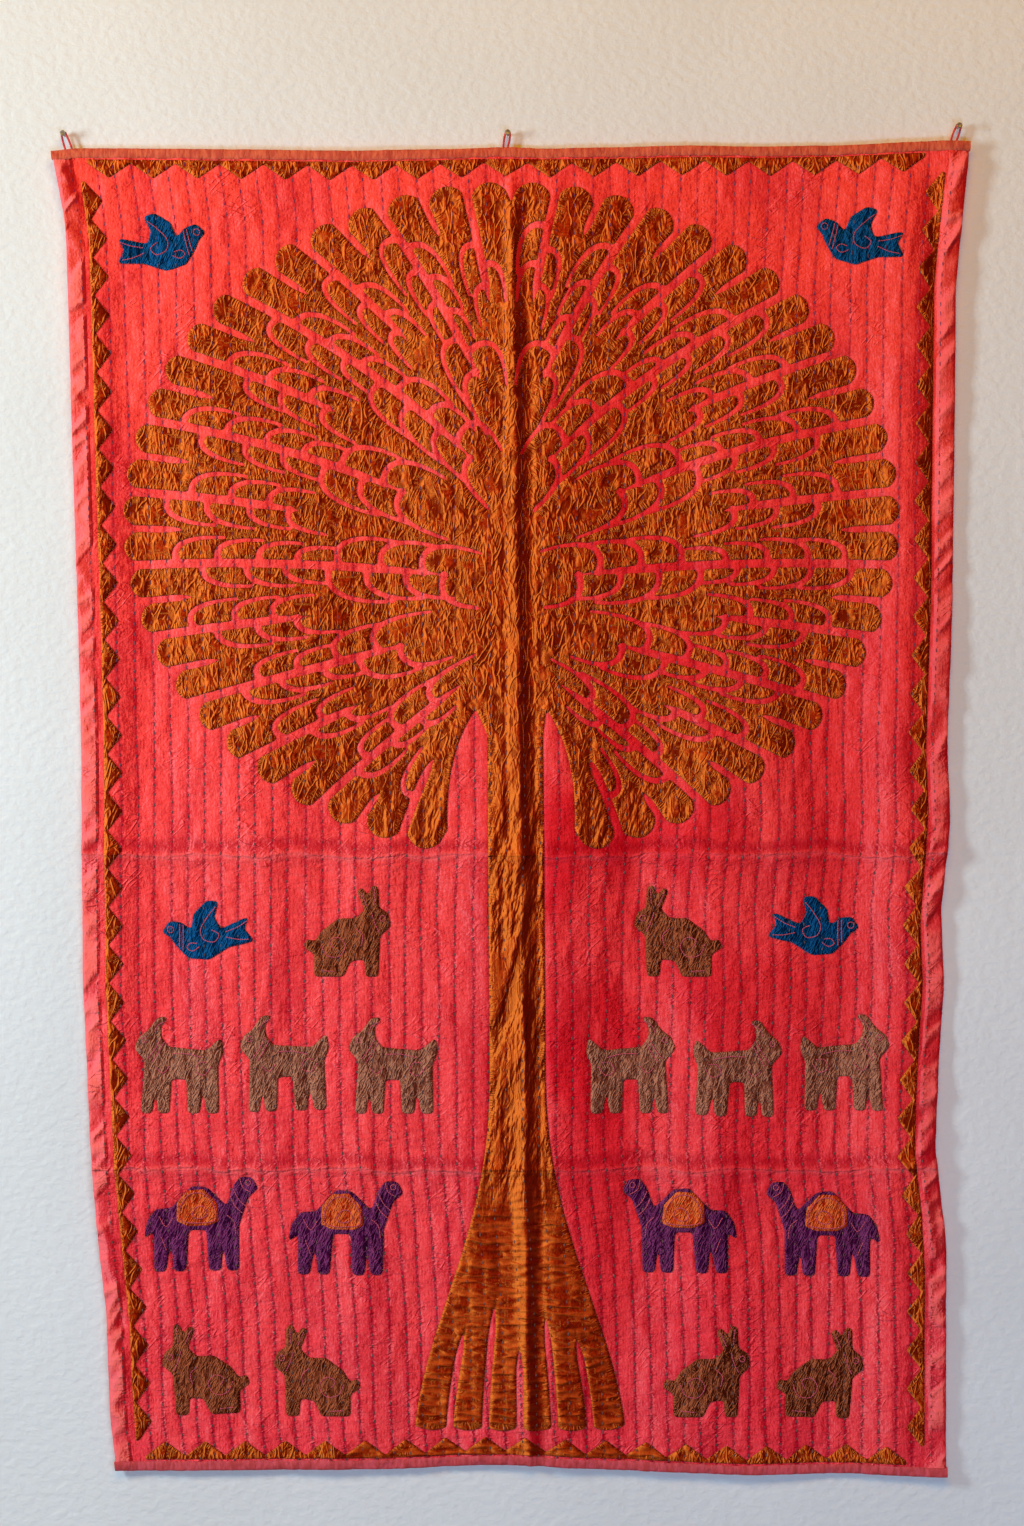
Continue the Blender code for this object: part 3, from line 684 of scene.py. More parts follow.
def set_bump(tree, shader, *layers):
    """Lay bumps one on another: (height from 0 to 1, distance in metres) pairs."""
    inputs = {}
    for height, distance in layers:
        inputs.update({"Height": height, "Distance": distance, "Strength": 1.0})
        inputs["Normal"] = add(tree, "Bump", inputs)
    tree.links.new(inputs["Normal"], shader.inputs["Normal"])
    return inputs["Normal"]


def turned(tree, normal, body, away, towards):
    """Painted light by slope: a painted shade on slopes turned to the right, away from the
    window light at the left, and a painted highlight on those turned to the left."""
    tilt = add(tree, "VectorMath", (normal, (-1.0, 0.0, 0.0)), "Value", operation="DOT_PRODUCT")
    right = add(tree, "MapRange", (tilt, 0.0, -0.38, 0.0, 0.8), **SMOOTH)
    left = add(tree, "MapRange", (tilt, 0.0, 0.46, 0.0, 0.8), **SMOOTH)
    return layered(tree, body, (right, 0, 1, away), (left, 0, 1, towards))


def coral_cotton():
    """Plain-weave cotton cambric, piece-dyed coral, washed soft and quilted by hand.

    Threads are 0.35 mm apart; the slubs are drawn 1.4 mm wide so that they show. It is matt.
    Painted light: warmer and more orange towards the top for warm light from above, painted
    shade deepest red down in the quilted rows and their puckers, a painted shadow band and a
    highlight along the storage creases, painted highlights on the crepe and the hem folds, and
    painted shade on slopes turned to the right and over the right half, less near its top and
    foot and varied in random patches.
    """
    material, tree, shader, spot = new_material("coral cotton cambric", {
        "Roughness": 0.88, "IOR": 1.45, "Specular IOR Level": 0.03,
        "Specular Tint": linear("FF9A90")})
    across, _, height = add(tree, "SeparateXYZ", (spot,), slice(3))
    seam, hem = (add(tree, "Attribute", out="Fac", attribute_name=name) for name in ("seam", "hem"))
    # 0 at the foot, 1 at the top: it sets the painted warm light at the top and weakens the painted
    #                              shade of the rows there
    toward_top = add(tree, "MapRange", (height, -1.5, -0.1))
    patches = grain(tree, spot, (0.09, 0.09, 0.22))
    deeper = grain(tree, spot, (0.055, 0.055, 0.11), 3.0, 0.48, 0.66)
    streaks = grain(tree, spot, (0.0035, 0.004, 0.045), 3.0)
    # fine crinkles: a bump, with painted highlights as lighter spots on them
    crepe = grain(tree, spot, (0.0026, 0.0026, 0.0038))
    crumple = grain(tree, spot, (0.016, 0.016, 0.006), 3.0)

    # painted shade: deeper red beside and along each row of stitches, where the cloth is pulled
    # into a groove; weaker towards the top
    ragged = add(tree, "MapRange", (streaks, 0.0, 1.0, -1.2, 1.2))
    ragged = add(tree, "Math", (seam, ragged), operation="ADD")
    most = add(tree, "MapRange", (toward_top, 0.0, 1.0, 0.36, 0.06))
    near = add(tree, "MapRange", (ragged, 6.0, 0.0, 0.0, most), **SMOOTH)
    most = add(tree, "MapRange", (toward_top, 0.0, 1.0, 0.80, 0.40))
    line = add(tree, "MapRange", (seam, 2.4, 0.5, 0.0, most))

    # hem folds: a bump, and a painted highlight on their ridges
    hem_folds = wrinkles(tree, spot, (0.030, 0.030, 0.080), 0.75, 0.17)
    hem_folds = add(tree, "Math", (hem_folds, hem), operation="MULTIPLY")
    rising = wrinkles(tree, spot, (0.010, 0.010, 0.045), 0.80, 0.07)
    falling = wrinkles(tree, spot, (0.009, 0.009, 0.040), -1.25, 0.07)
    where = grain(tree, spot, (0.035, 0.035, 0.050), 2.0, 0.50, 0.68)
    folds = add(tree, "Mix", {0: crumple, 2: rising, 3: falling})
    folds = add(tree, "Math", (folds, where), operation="MULTIPLY")
    slack = grain(tree, spot, (0.030, 0.030, 0.060), 3.0, 0.25, 0.75, -0.25)
    level = add(tree, "MapRange", (grain(tree, spot, (0.07, 0.07, 0.07)), 0.0, 1.0, -0.004, 0.004))
    level = add(tree, "Math", (height, level), operation="ADD")
    # puckers along the rows: a bump, and painted shade on them in the body, weaker towards the top
    puckers = wrinkles(tree, spot, (0.016, 0.016, 0.0050), 0.0, 0.11)
    most = add(tree, "MapRange", (toward_top, 0.0, 1.0, 1.0, 0.15))
    by_seam = add(tree, "MapRange", (seam, 7.0, 1.0, 0.0, most))
    puckers = add(tree, "Math", (puckers, by_seam), operation="MULTIPLY")

    body = layered(
        # FF4834 towards the top is painted warm light
        tree, linear("FF3E4B"), (toward_top, 0, 1, "FF4834"), (patches, 0, 0.4, "FF4A44"),
        (deeper, 0, 0.42, "CC1A30"), (streaks, 0, 0.14, "CE1826"), (crepe, 0, 0.18, "FF6C60"),
        (crumple, 0, 0.20, "D41E28"), (near, 0, 1, "C00A30"), (line, 0, 1, "9E0428"),
        (hem, 0, 0.75, layered(tree, linear("DA303A"), (toward_top, 0, 1, "CC3A26"))),
        (hem_folds, 0, 0.75, "FF7466"),
        # painted shadow band just above each storage crease, and a painted highlight on its crest
        (storage_creases(tree, level, 10 * MM, 13 * MM), 0, 0.60, "A80822"),
        (storage_creases(tree, level, -2 * MM, 6 * MM), 0, 0.28, "FF7A74"),
        (puckers, 0, 0.25, "B00418"))
    normal = set_bump(tree, shader, (slack, 1.3 * MM), (storage_creases(tree, level), 0.8 * MM),
                      (hem_folds, 2.6 * MM), (folds, 0.7 * MM), (crumple, 0.6 * MM),
                      (puckers, 0.55 * MM), (streaks, 0.12 * MM), (crepe, 0.20 * MM))
    # painted shade on slopes turned to the right, painted highlight on those turned to the left
    body = turned(tree, normal, body, "BE0616", "FF6E70")

    # painted shade: the right half darker and deeper red, turned from and farther from the window
    # light at the left; less near the foot and the top, and varied in random patches
    most = add(tree, "MapRange", (across, 0.12, 0.46, 0.80, 0.36))
    right_shade = add(tree, "MapRange", (across, -0.09, 0.06, 0.0, most), **SMOOTH)
    for end, start, share in ((-1.40, -1.10, 0.45), (-0.10, -0.50, 0.35)):
        less = add(tree, "MapRange", (right_shade, 0.0, 1.0, 0.0, share))
        right_shade = add(tree, "MapRange", (height, end, start, less, right_shade))
    shade_patches = grain(tree, spot, (0.10, 0.10, 0.17), 2.0, 0.42, 0.62, -0.3)
    shade_patches = add(tree, "MapRange", (shade_patches, 0.0, 1.0, 1.12, 0.35))
    right_shade = add(tree, "Math", (right_shade, shade_patches), operation="MULTIPLY", use_clamp=True)
    body = add(tree, "Mix", {0: right_shade, 6: body, 7: linear("E26A93")}, 2, data_type="RGBA",
               blend_type="MULTIPLY")
    tree.links.new(body, shader.inputs["Base Color"])
    return material


def ochre_sateen():
    """Ochre cotton sateen with an orange warp over a dark brown weft.

    The floats are 2 mm long. Wrinkles 3 to 5 mm apart, most of them upright, and gathers along
    every cut edge carry painted golden highlights on their ridges over the brown between them;
    crushed folds and the root ripples get painted shade in their hollows, and the turned-under
    edges and slopes turned to the right get painted shade. The trunk is smoother and streaked
    along its length; the roots ripple every 9 mm.
    """
    material, tree, shader, spot = new_material("ochre shot sateen", {
        "Roughness": 0.5, "IOR": 1.45, "Specular IOR Level": 0.06,
        "Specular Tint": linear("F08040")})
    across, _, height = add(tree, "SeparateXYZ", (spot,), slice(3))
    aside = add(tree, "Math", (across,), operation="ABSOLUTE")
    middle = add(tree, "MapRange", (aside, 0.20, 0.18))
    trunk = add(tree, "MapRange", (height, -0.66, -0.80, 0.0, middle), **SMOOTH)
    roots = add(tree, "MapRange", (height, -1.16, -1.28, 0.0, middle), **SMOOTH)
    patches = grain(tree, spot, (0.016, 0.016, 0.022), 2.0, 0.38, 0.62)
    flecks = grain(tree, spot, (0.0022, 0.0022, 0.0030), 2.0, 0.35, 0.65)
    inset, edge_gathers = gathers(tree, 5.5, 30.0, 0.075)
    # painted shade along the turned-under cut edge
    edge = add(tree, "MapRange", (inset, 1.5, 0.1, 0.0, 0.8))

    # ridges: wrinkles, trunk streaks, root ripples and edge gathers; the body paints golden
    # highlights on them
    leaning = wrinkles(tree, spot, (0.0095, 0.0095, 0.034), 0.34, 0.060)
    upright = wrinkles(tree, spot, (0.0085, 0.0085, 0.038), -0.12, 0.060)
    ridges = add(tree, "Mix", {0: patches, 2: leaning, 3: upright})
    streaks = grain(tree, spot, (0.0060, 0.0060, 0.070), 3.0, 0.40, 0.72)
    streaked = add(tree, "MapRange", (trunk, 0.0, 1.0, 0.0, 0.60))
    ridges = add(tree, "Mix", {0: streaked, 2: ridges, 3: streaks})
    ripples_across = wrinkles(tree, spot, (0.036, 0.036, 0.0088), 0.10, 0.13)
    ridges = add(tree, "Mix", {0: roots, 2: ridges, 3: ripples_across})
    ridges = add(tree, "Math", (ridges, edge_gathers), operation="MAXIMUM")

    # crushed folds and, in the roots, ripple bands; the body paints shade where they are low
    crushed = grain(tree, spot, (0.022, 0.022, 0.060), 3.0, 0.40, 0.60, 0.30)
    crushed = add(tree, "Mix", {0: trunk, 2: patches, 3: crushed})
    bands = grain(tree, spot, (0.045, 0.045, 0.0100), 2.0, 0.20, 0.70, -0.06)
    waves = add(tree, "TexWave", {"Vector": spot, "Scale": 0.314 / 0.0095, "Distortion": 5.0,
                                  "Detail": 2.0, "Detail Scale": 0.8},
                1, wave_type="BANDS", bands_direction="Z", wave_profile="SIN")
    bands = add(tree, "Mix", {0: 0.55, 2: bands, 3: waves})
    crushed = add(tree, "Mix", {0: roots, 2: crushed, 3: bands})

    body = layered(
        tree, linear("8A1203"), (flecks, 0, 1, "B43008"), (patches, 0.45, 0, "700802"),
        (ridges, 0, 0.52, "E85C1C"), (crushed, 0.60, 0, "641002"), (edge, 0, 1, "4E0D04"))
    crushed_by = add(tree, "MapRange", (trunk, 0.0, 1.0, 1.2 * MM, 3.2 * MM))
    crushed_by = add(tree, "Mix", {0: roots, 2: crushed_by, 3: 2.0 * MM})
    ridges_by = add(tree, "MapRange", (trunk, 0.0, 1.0, 1.05 * MM, 0.8 * MM))
    normal = set_bump(tree, shader, (storage_creases(tree, height), 1.1 * MM),
                      (crushed, crushed_by), (ridges, ridges_by), (flecks, 0.07 * MM))
    # painted shade on slopes turned to the right, painted highlight on those turned to the left
    tree.links.new(turned(tree, normal, body, "5E0A02", "F67E2E"), shader.inputs["Base Color"])
    return material


def dyed_cotton(name, dark, middling, light, deeper=0.0):
    """Heavy hand-dyed cotton, crumpled where it was eased down.

    Painted highlights make the ridges paler, and painted shade darkens the turned-under edges
    and slopes turned to the right; some cloths are darker on the hanging's right half. Threads
    are 0.5 mm apart, drawn 1.5 mm wide.
    """
    material, tree, shader, spot = new_material(
        name, {"Roughness": 0.85, "IOR": 1.45, "Specular IOR Level": 0.02})
    across = add(tree, "SeparateXYZ", (spot,))
    right_half = add(tree, "MapRange", (across, -0.1, 0.1, 0.0, deeper))
    patches = grain(tree, spot, (0.014, 0.014, 0.020), 3.0)
    # ridges: wrinkles and edge gathers, with painted highlights on them in the body
    ridges = wrinkles(tree, spot, (0.0046, 0.0046, 0.020), 0.45)
    inset, edge_gathers = gathers(tree, 3.4, 12.0, 0.12)
    ridges = add(tree, "Math", (ridges, edge_gathers), operation="MAXIMUM")
    weave = grain(tree, spot, (0.0016, 0.0016, 0.0030))
    # painted shade along the turned-under cut edge
    edge = add(tree, "MapRange", (inset, 1.3, 0.1, 0.0, 0.6))
    body = layered(tree, linear(dark), (patches, 0.1, 0.9, middling), (ridges, 0, 0.6, light),
                   (weave, 0, 0.45, dark), (edge, 0, 1, dark), (right_half, 0, 1, dark))
    normal = set_bump(tree, shader, (patches, 2.0 * MM), (ridges, 1.2 * MM), (weave, 0.15 * MM))
    # painted shade on slopes turned to the right, painted highlight on those turned to the left
    tree.links.new(turned(tree, normal, body, dark, light), shader.inputs["Base Color"])
    return material


def plain_finish(name, sockets, colour, size, detail, over, share=1, bump=0.0, fade=None):
    """A colour with small patches of another over it, which can stand up; before that it can
    fade into a third between two heights. Also its tree, shader and patches."""
    material, tree, shader, spot = new_material(name, sockets)
    body = linear(colour)
    if fade:
        start, end, last = fade
        height = add(tree, "SeparateXYZ", (spot,), 2)
        body = layered(tree, body, (add(tree, "MapRange", (height, start, end)), 0, 1, last))
    patches = grain(tree, spot, size, detail)
    tree.links.new(layered(tree, body, (patches, 0, share, over)), shader.inputs["Base Color"])
    if bump:
        set_bump(tree, shader, (patches, bump))
    return material, tree, shader, patches


def salmon_cotton():
    """Bias strip of salmon cotton, folded over the raw edge: paler than the ground, puckered
    by the slip stitches that hold it."""
    return plain_finish("salmon cotton strip", {"Roughness": 0.85, "Specular IOR Level": 0.25},
                        "D4603E", (0.0045, 0.0045, 0.012), 3.0, "A82C22", 0.70, 0.7 * MM,
                        (-0.5, -1.2, "D04C54"))[0]


def cotton_thread(name, upper, lower, light):
    """Mercerised cotton thread of 0.6 mm, its colour changing from spool to spool."""
    return plain_finish(name, {"Roughness": 0.7, "Specular IOR Level": 0.10}, upper,
                        (0.003, 0.003, 0.004), 1.0, light, 0.5, fade=(-0.2, -0.9, lower))[0]


def twisted_cord():
    """Three-ply cotton cord dyed to match the ground, its plies a little rubbed and pale."""
    return plain_finish("coral cotton cord", {"Roughness": 0.8, "Specular IOR Level": 0.25},
                        "A8202A", (0.0012, 0.0012, 0.0012), 3.0, "E8564E", bump=0.2 * MM)[0]


def wire_steel():
    """Drawn mild steel of a common wire nail, dulled to grey, with a stamped head."""
    material, tree, shader, wear = plain_finish(
        "dull drawn steel", {"Metallic": 1.0}, "6E675E", (0.0018, 0.0018, 0.0018), 3.0, "A09A90")
    tree.links.new(add(tree, "MapRange", (wear, 0.0, 1.0, 0.35, 0.55)), shader.inputs["Roughness"])
    return material


def floor_boards():
    """Planed and waxed pine boards, grey with wear."""
    return plain_finish("floor boards", {"Roughness": 0.6}, "807468", (0.5, 0.05, 0.5), 4.0,
                        "948A80")[0]


def plaster_wall():
    """Matt white emulsion on floated plaster, seen only from the room's side."""
    material, tree, shader, _ = plain_finish(
        "painted plaster", {"Roughness": 0.9, "Specular IOR Level": 0.2}, "D6D3CF",
        (0.35, 0.35, 0.5), 2.0, "DDDAD6")
    spot = add(tree, "TexCoord", out="Object")
    set_bump(tree, shader, (grain(tree, spot, (0.012, 0.012, 0.009), 4.0), 0.5 * MM))
    clear = add(tree, "BsdfTransparent")
    behind = add(tree, "NewGeometry", out="Backfacing")
    both = add(tree, "MixShader", (behind, shader.outputs[0], clear))
    tree.links.new(both, tree.nodes["Material Output"].inputs[0])
    return material


# ---------------------------------------------------------------- making pieces

BORDER_WIDTH = 22 * MM
LAYER = 1.25 * MM             # how far a sewn-on piece stands on what is under it
TURN = 2.2 * MM               # over this distance its edge turns down
UNDER = 1.1 * MM              # the ground lies this much deeper under a sewn-on piece
PUFFED = 0.5 * MM             # the height of a sewn-on piece's own folds
GROUND_TOP = -0.0185
GROUND_LOW = -1.5345
GROUND_LEVELS = 304
EDGE_BLEND = 0.08             # the mesh's levels bend to the top and bottom edges over this
BINDING_CELLS = 420           # along a binding
BINDING_PUCKERS = 140         # waves of its free edge; its face has a few more
BINDING_FACE_PUCKERS = 150


def add_piece(name, mesh, material, slot=None, node=None):
    """Link a finished mesh as a piece that rides with the hanging."""
    item = bpy.data.objects.new(name, mesh)
    mesh.materials.append(material)
    mesh.shade_smooth()
    bpy.context.collection.objects.link(item)
    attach(item, "root")
    if node:
        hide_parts(node)
    return item


def mesh_of(name, shape):
    """A mesh from a bmesh, which is freed."""
    mesh = bpy.data.meshes.new(name)
    shape.to_mesh(mesh)
    shape.free()
    return mesh


def grid_mesh(name, columns, rows):
    """A flat grid of cells, with each vertex's column and row."""
    shape = bmesh.new()
    bmesh.ops.create_grid(shape, x_segments=columns - 1, y_segments=rows - 1, size=1)
    mesh = mesh_of(name, shape)
    x, y, _ = places(mesh).T
    column = np.round((x + 1) / 2 * (columns - 1)).astype(int)
    row = np.round((y + 1) / 2 * (rows - 1)).astype(int)
    return mesh, column, row


def places(mesh):
    flat = np.zeros(len(mesh.vertices) * 3)
    mesh.vertices.foreach_get("co", flat)
    return flat.reshape(-1, 3)


def set_places(mesh, x, y, z):
    mesh.vertices.foreach_set("co", np.column_stack([x, y, z]).ravel())
    mesh.update()


def set_attribute(mesh, name, values):
    made = mesh.attributes.new(name, "FLOAT", "POINT")
    made.data.foreach_set("value", np.asarray(values, np.float32))


def raised(depth):
    """How far a sewn-on piece's face stands up, from its distance in from its cut edge."""
    share = np.clip(depth / TURN, 0, 1)
    return np.where(depth > -0.2 * MM, LAYER * (0.12 + 0.88 * np.sqrt(share * (2 - share))), 0.0)


# what lies on the ground: the depth inside any sewn-on piece over the whole hanging
cover = Cut((-0.54, -1.56), (0.54, 0.0))
cover.depth = np.full(cover.gap.shape, -EDGE_REACH)


def lay(cut):
    """Add a sewn-on piece to what lies on the ground."""
    first = np.round((cut.low - cover.low) / CELL).astype(int)
    x, z = np.meshgrid(*(cover.low[i] + CELL * (first[i] + np.arange(cut.depth.shape[i]))
                         for i in (0, 1)), indexing="ij")
    area = (slice(first[0], first[0] + x.shape[0]), slice(first[1], first[1] + x.shape[1]))
    cover.depth[area] = np.maximum(cover.depth[area], cut.at(x, z))


def trimmed(mesh, depth, cell):
    """Cut a grid along its depth's zero line and drop what lies outside."""
    shape = bmesh.new()
    shape.from_mesh(mesh)
    inset = shape.verts.layers.float.new("inset")
    for vertex, value in zip(shape.verts, depth):
        vertex[inset] = value
    outside = [vertex for vertex in shape.verts if vertex[inset] < -1.6 * cell]
    bmesh.ops.delete(shape, geom=outside, context="VERTS")
    crossed = [edge for edge in shape.edges
               if edge.verts[0][inset] * edge.verts[1][inset] < 0]
    on_edge = [vertex for vertex in shape.verts if vertex[inset] == 0]
    for edge in crossed:
        start, end = edge.verts
        near, far = start[inset], end[inset]
        made = bmesh.utils.edge_split(edge, start, near / (near - far))[1]
        made[inset] = 0.0
        on_edge.append(made)
    bmesh.ops.connect_verts(shape, verts=on_edge)
    scraps = [face for face in shape.faces if sum(vertex[inset] for vertex in face.verts) <= 0]
    bmesh.ops.delete(shape, geom=scraps, context="FACES")
    loose = [vertex for vertex in shape.verts if not vertex.link_faces]
    bmesh.ops.delete(shape, geom=loose, context="VERTS")
    shape.verts.layers.float.remove(inset)
    shape.to_mesh(mesh)
    shape.free()


def cut_sheet(node, suffix, cut, cell, cloth, grid_z, seed, crumple=0.0, lift=0.0, width=None):
    """A piece of cloth cut out along its edge and sewn down, its edge turned under. Its flat
    width, its box's or the strip's, is worked out but not used."""
    name = node + suffix
    columns = int(math.ceil((cut.high[0] - cut.low[0]) / cell)) + 1
    first_row = math.floor((cut.low[1] - grid_z) / cell)
    rows = int(math.ceil((cut.high[1] - grid_z) / cell)) - first_row + 1
    mesh, column, row = grid_mesh(name, columns, rows)
    x = cut.low[0] + cell * column
    z = grid_z + cell * (first_row + row)
    set_places(mesh, x, np.zeros(len(x)), z)
    depth = cut.at(x, z)
    trimmed(mesh, np.where(np.abs(depth) < 0.04 * cell, 0.0, depth), cell)

    x, _, z = places(mesh).T
    depth = np.maximum(cut.at(x, z), 0)
    run, gathered = cut.gathers_at(x, z)
    folds = creases(*slanted(x, z, 0.4, 0.0085, 0.019), seed, 2.5)
    folds = 0.6 * ripples(x / 0.013, z / 0.019, seed + 2) + (0.3 + crumple) * folds
    away = quilted(x, z) + raised(depth) + lift + PUFFED * folds * smooth_step(depth / (4 * MM))
    set_places(mesh, x, -away, z)
    set_attribute(mesh, "inset", depth / MM)
    set_attribute(mesh, "run", run / MM)
    set_attribute(mesh, "gathered", gathered * (1 - 0.75 * smooth_step(depth / (13 * MM))))
    piece = add_piece(name, mesh, *cloth, node)
    width = width or float(np.ptp(x))


def ground_sheet(material):
    """The quilted ground: one sheet, both side hems turned to its back."""
    # shares of the width, from the turned-under edge round and in to the first row
    turned_under = (0.0150, 0.0030, -0.0006)
    hem = (0.0, 0.004, 0.0085, 0.0125, 0.0165, 0.0205, 0.0265, 0.0330, 0.0390)
    edge_shares = np.array(turned_under + hem)
    rows_of_stitches = FIRST_ROW + ROW_PITCH * np.arange(0, ROW_COUNT - 1 + 1e-6, 1 / 6)
    shares = np.concatenate([edge_shares, rows_of_stitches, 1 - edge_shares[::-1]])
    behind = np.zeros(len(shares))          # the face, in millimetres
    behind[:4] = (2.4, 2.0, 1.0, 0.3)
    behind[-4:] = behind[3::-1]

    levels = np.linspace(GROUND_TOP, GROUND_LOW, GROUND_LEVELS)
    for crease_z, _, _ in CREASE_ROWS:
        levels[np.argmin(np.abs(levels - crease_z))] = crease_z
    mesh, column, row = grid_mesh("ground_cloth_face", len(shares), len(levels))
    share = shares[column]
    z = levels[len(levels) - 1 - row]
    near_top = smooth_step(1 - (levels[0] - z) / EDGE_BLEND)
    near_low = smooth_step(1 - (z - levels[-1]) / EDGE_BLEND)
    z = z + near_top * (top_at(share) - levels[0]) + near_low * (low_at(share) - levels[-1])
    x = x_at(share, z)
    within = smooth_step((edge_distance(x, z) - HEM) / (20 * MM))
    x = x + within * row_wander((share - FIRST_ROW) / ROW_PITCH, z)
    under = smooth_step(cover.at(x, z) / (3 * MM) + 0.3)
    set_places(mesh, x, under * UNDER + behind[column] * MM - quilted(x, z), z)
    gap = seam_distance(x, z)[0]
    edge = edge_distance(x, z)
    gap = np.where(edge < 1.7 * HEM, np.abs(edge - HEM), gap)
    set_attribute(mesh, "seam", gap / MM)
    set_attribute(mesh, "hem", 1 - smooth_step((edge - HEM) / (3 * MM)))
    piece = add_piece("ground_cloth_face", mesh, material, "coral_cotton", "ground_cloth")


def binding_sheet(end, material):
    """A strip folded over the top or bottom edge, eased along by its slip stitches."""
    node = "binding_" + end
    # round the strip: height in from the edge, and distance in front of the ground's back
    section = ((10.0, -1.9), (7.0, -1.8), (3.0, -1.7), (0.2, -1.2), (-1.0, 0.4), (-0.9, 2.0),
               (0.4, 2.9), (3.0, 3.2), (6.0, 3.3), (8.6, 3.1), (10.0, 2.1))
    mesh, column, row = grid_mesh(node + "_strip", BINDING_CELLS + 1, len(section))
    if end == "top":
        row = len(section) - 1 - row
    inward, front = np.array(section).T * MM
    share = -0.002 + 1.004 * column / BINDING_CELLS
    inset = inward[row]
    wave = ripples(share * BINDING_PUCKERS, inset / 0.004, 51)
    inset = inset + (0.9 * MM * wave) * (inset > 8 * MM)
    z = top_at(share) - inset if end == "top" else low_at(share) + inset
    x = x_at(share, z)
    facing = front[row] > 1.8 * MM
    away = quilted(x, z) - CREST + front[row]
    wave = ripples(share * BINDING_FACE_PUCKERS, inset / 0.006, 52)
    away = away + facing * 0.7 * MM * wave
    set_places(mesh, x, -away, z)
    piece = add_piece(node + "_strip", mesh, material, "salmon_cotton", node)


# ---------------------------------------------------------------- stitches

def thread_mesh(name, segments, rings, x, y, z, direction, length, thick):
    """One mesh of many stitches: where each is, which way it runs, how long and how thick."""
    shape = bmesh.new()
    bmesh.ops.create_uvsphere(shape, u_segments=segments, v_segments=rings, radius=0.5)
    bmesh.ops.rotate(shape, verts=shape.verts, matrix=Matrix.Rotation(math.pi / 2, 3, "Y"))
    bmesh.ops.triangulate(shape, faces=shape.faces)
    single = mesh_of("stitch", shape)
    corners = places(single)
    facets = np.array([face.vertices[:] for face in single.polygons])
    bpy.data.meshes.remove(single)

    count = len(x)
    length, thick = (np.broadcast_to(value, count)[:, None] for value in (length, thick))
    along = corners[None, :, 0] * length
    across = corners[None, :, 1] * thick
    c = np.cos(direction)[:, None]
    s = np.sin(direction)[:, None]
    points = np.stack([x[:, None] + along * c - across * s,
                       y[:, None] - corners[None, :, 2] * thick,
                       z[:, None] + along * s + across * c], axis=-1).reshape(-1, 3)
    faces = (facets[None] + len(corners) * np.arange(count)[:, None, None]).reshape(-1, 3)
    mesh = bpy.data.meshes.new(name)
    mesh.from_pydata(points.tolist(), [], faces.tolist())
    mesh.update()
    return mesh


def top_face(x, z):
    """Distance from the wall of whatever lies on top, apart from saddle cloths."""
    depth = cover.at(x, z)
    return quilted(x, z) + raised(depth) * (depth > 0)


def running_stitches(material):
    """The quilting thread where it shows on the face, in every row and in both side hems."""
    rng = np.random.default_rng(77)
    stitches = []
    for index in range(-1, ROW_COUNT + 1):
        z = -0.034 - rng.uniform(0, 0.01)
        while z > -1.522:
            upper = float(smooth_step((z + 0.9) / 0.5))
            length = (rng.uniform(3.4, 4.8) + 1.4 * upper) * MM
            middle = z - length / 2
            if index < 0:
                x = left_at(middle) + HEM
            elif index == ROW_COUNT:
                x = right_at(middle) - HEM
            else:
                x = row_x(index, middle)
            thick = (rng.uniform(1.4, 2.0) - 0.5 * upper) * MM
            stitches.append((float(x), middle, length, thick))
            z -= STITCH_PITCH * rng.uniform(0.85, 1.15)
    x, z, length, thick = np.array(stitches).T
    y = -(top_face(x, z) + 0.15 * MM)
    direction = np.full(len(x), -math.pi / 2) + rng.uniform(-0.08, 0.08, len(x))
    mesh = thread_mesh("quilting_stitches", 5, 3, x, y, z, direction, length, thick)
    add_piece("quilting_stitches", mesh, material)


def edge_route(cut, spacing):
    """Places along a cut edge about this far apart, with the direction into the piece."""
    depth = cut.depth
    inside = depth > 0
    found = []
    for step_i, step_j in ((1, 0), (0, 1)):
        last_i, last_j = (size - step for size, step in zip(depth.shape, (step_i, step_j)))
        i, j = np.nonzero(inside[:last_i, :last_j] != inside[step_i:, step_j:])
        share = depth[i, j] / (depth[i, j] - depth[i + step_i, j + step_j])
        found.append(np.column_stack([cut.low[0] + CELL * (i + share * step_i),
                                      cut.low[1] + CELL * (j + share * step_j)]))
    spots = np.concatenate(found)
    _, first = np.unique(np.floor(spots / spacing).astype(int), axis=0, return_index=True)
    x, z = spots[first].T
    inward_x = cut.at(x + CELL, z) - cut.at(x - CELL, z)
    inward_z = cut.at(x, z + CELL) - cut.at(x, z - CELL)
    return x, z, np.arctan2(inward_z, inward_x)


def slip_stitches(name, cuts, material, spacing, length):
    """The small stitches over the turned edges of sewn-on pieces."""
    x, z, direction = (np.concatenate(values)
                       for values in zip(*(edge_route(cut, spacing) for cut in cuts)))
    x = x + 0.5 * MM * np.cos(direction)
    z = z + 0.5 * MM * np.sin(direction)
    y = -(quilted(x, z) + 0.55 * LAYER + 0.1 * MM)
    add_piece(name, thread_mesh(name, 4, 2, x, y, z, direction, length, 0.75 * MM), material)


# ---------------------------------------------------------------- the animals

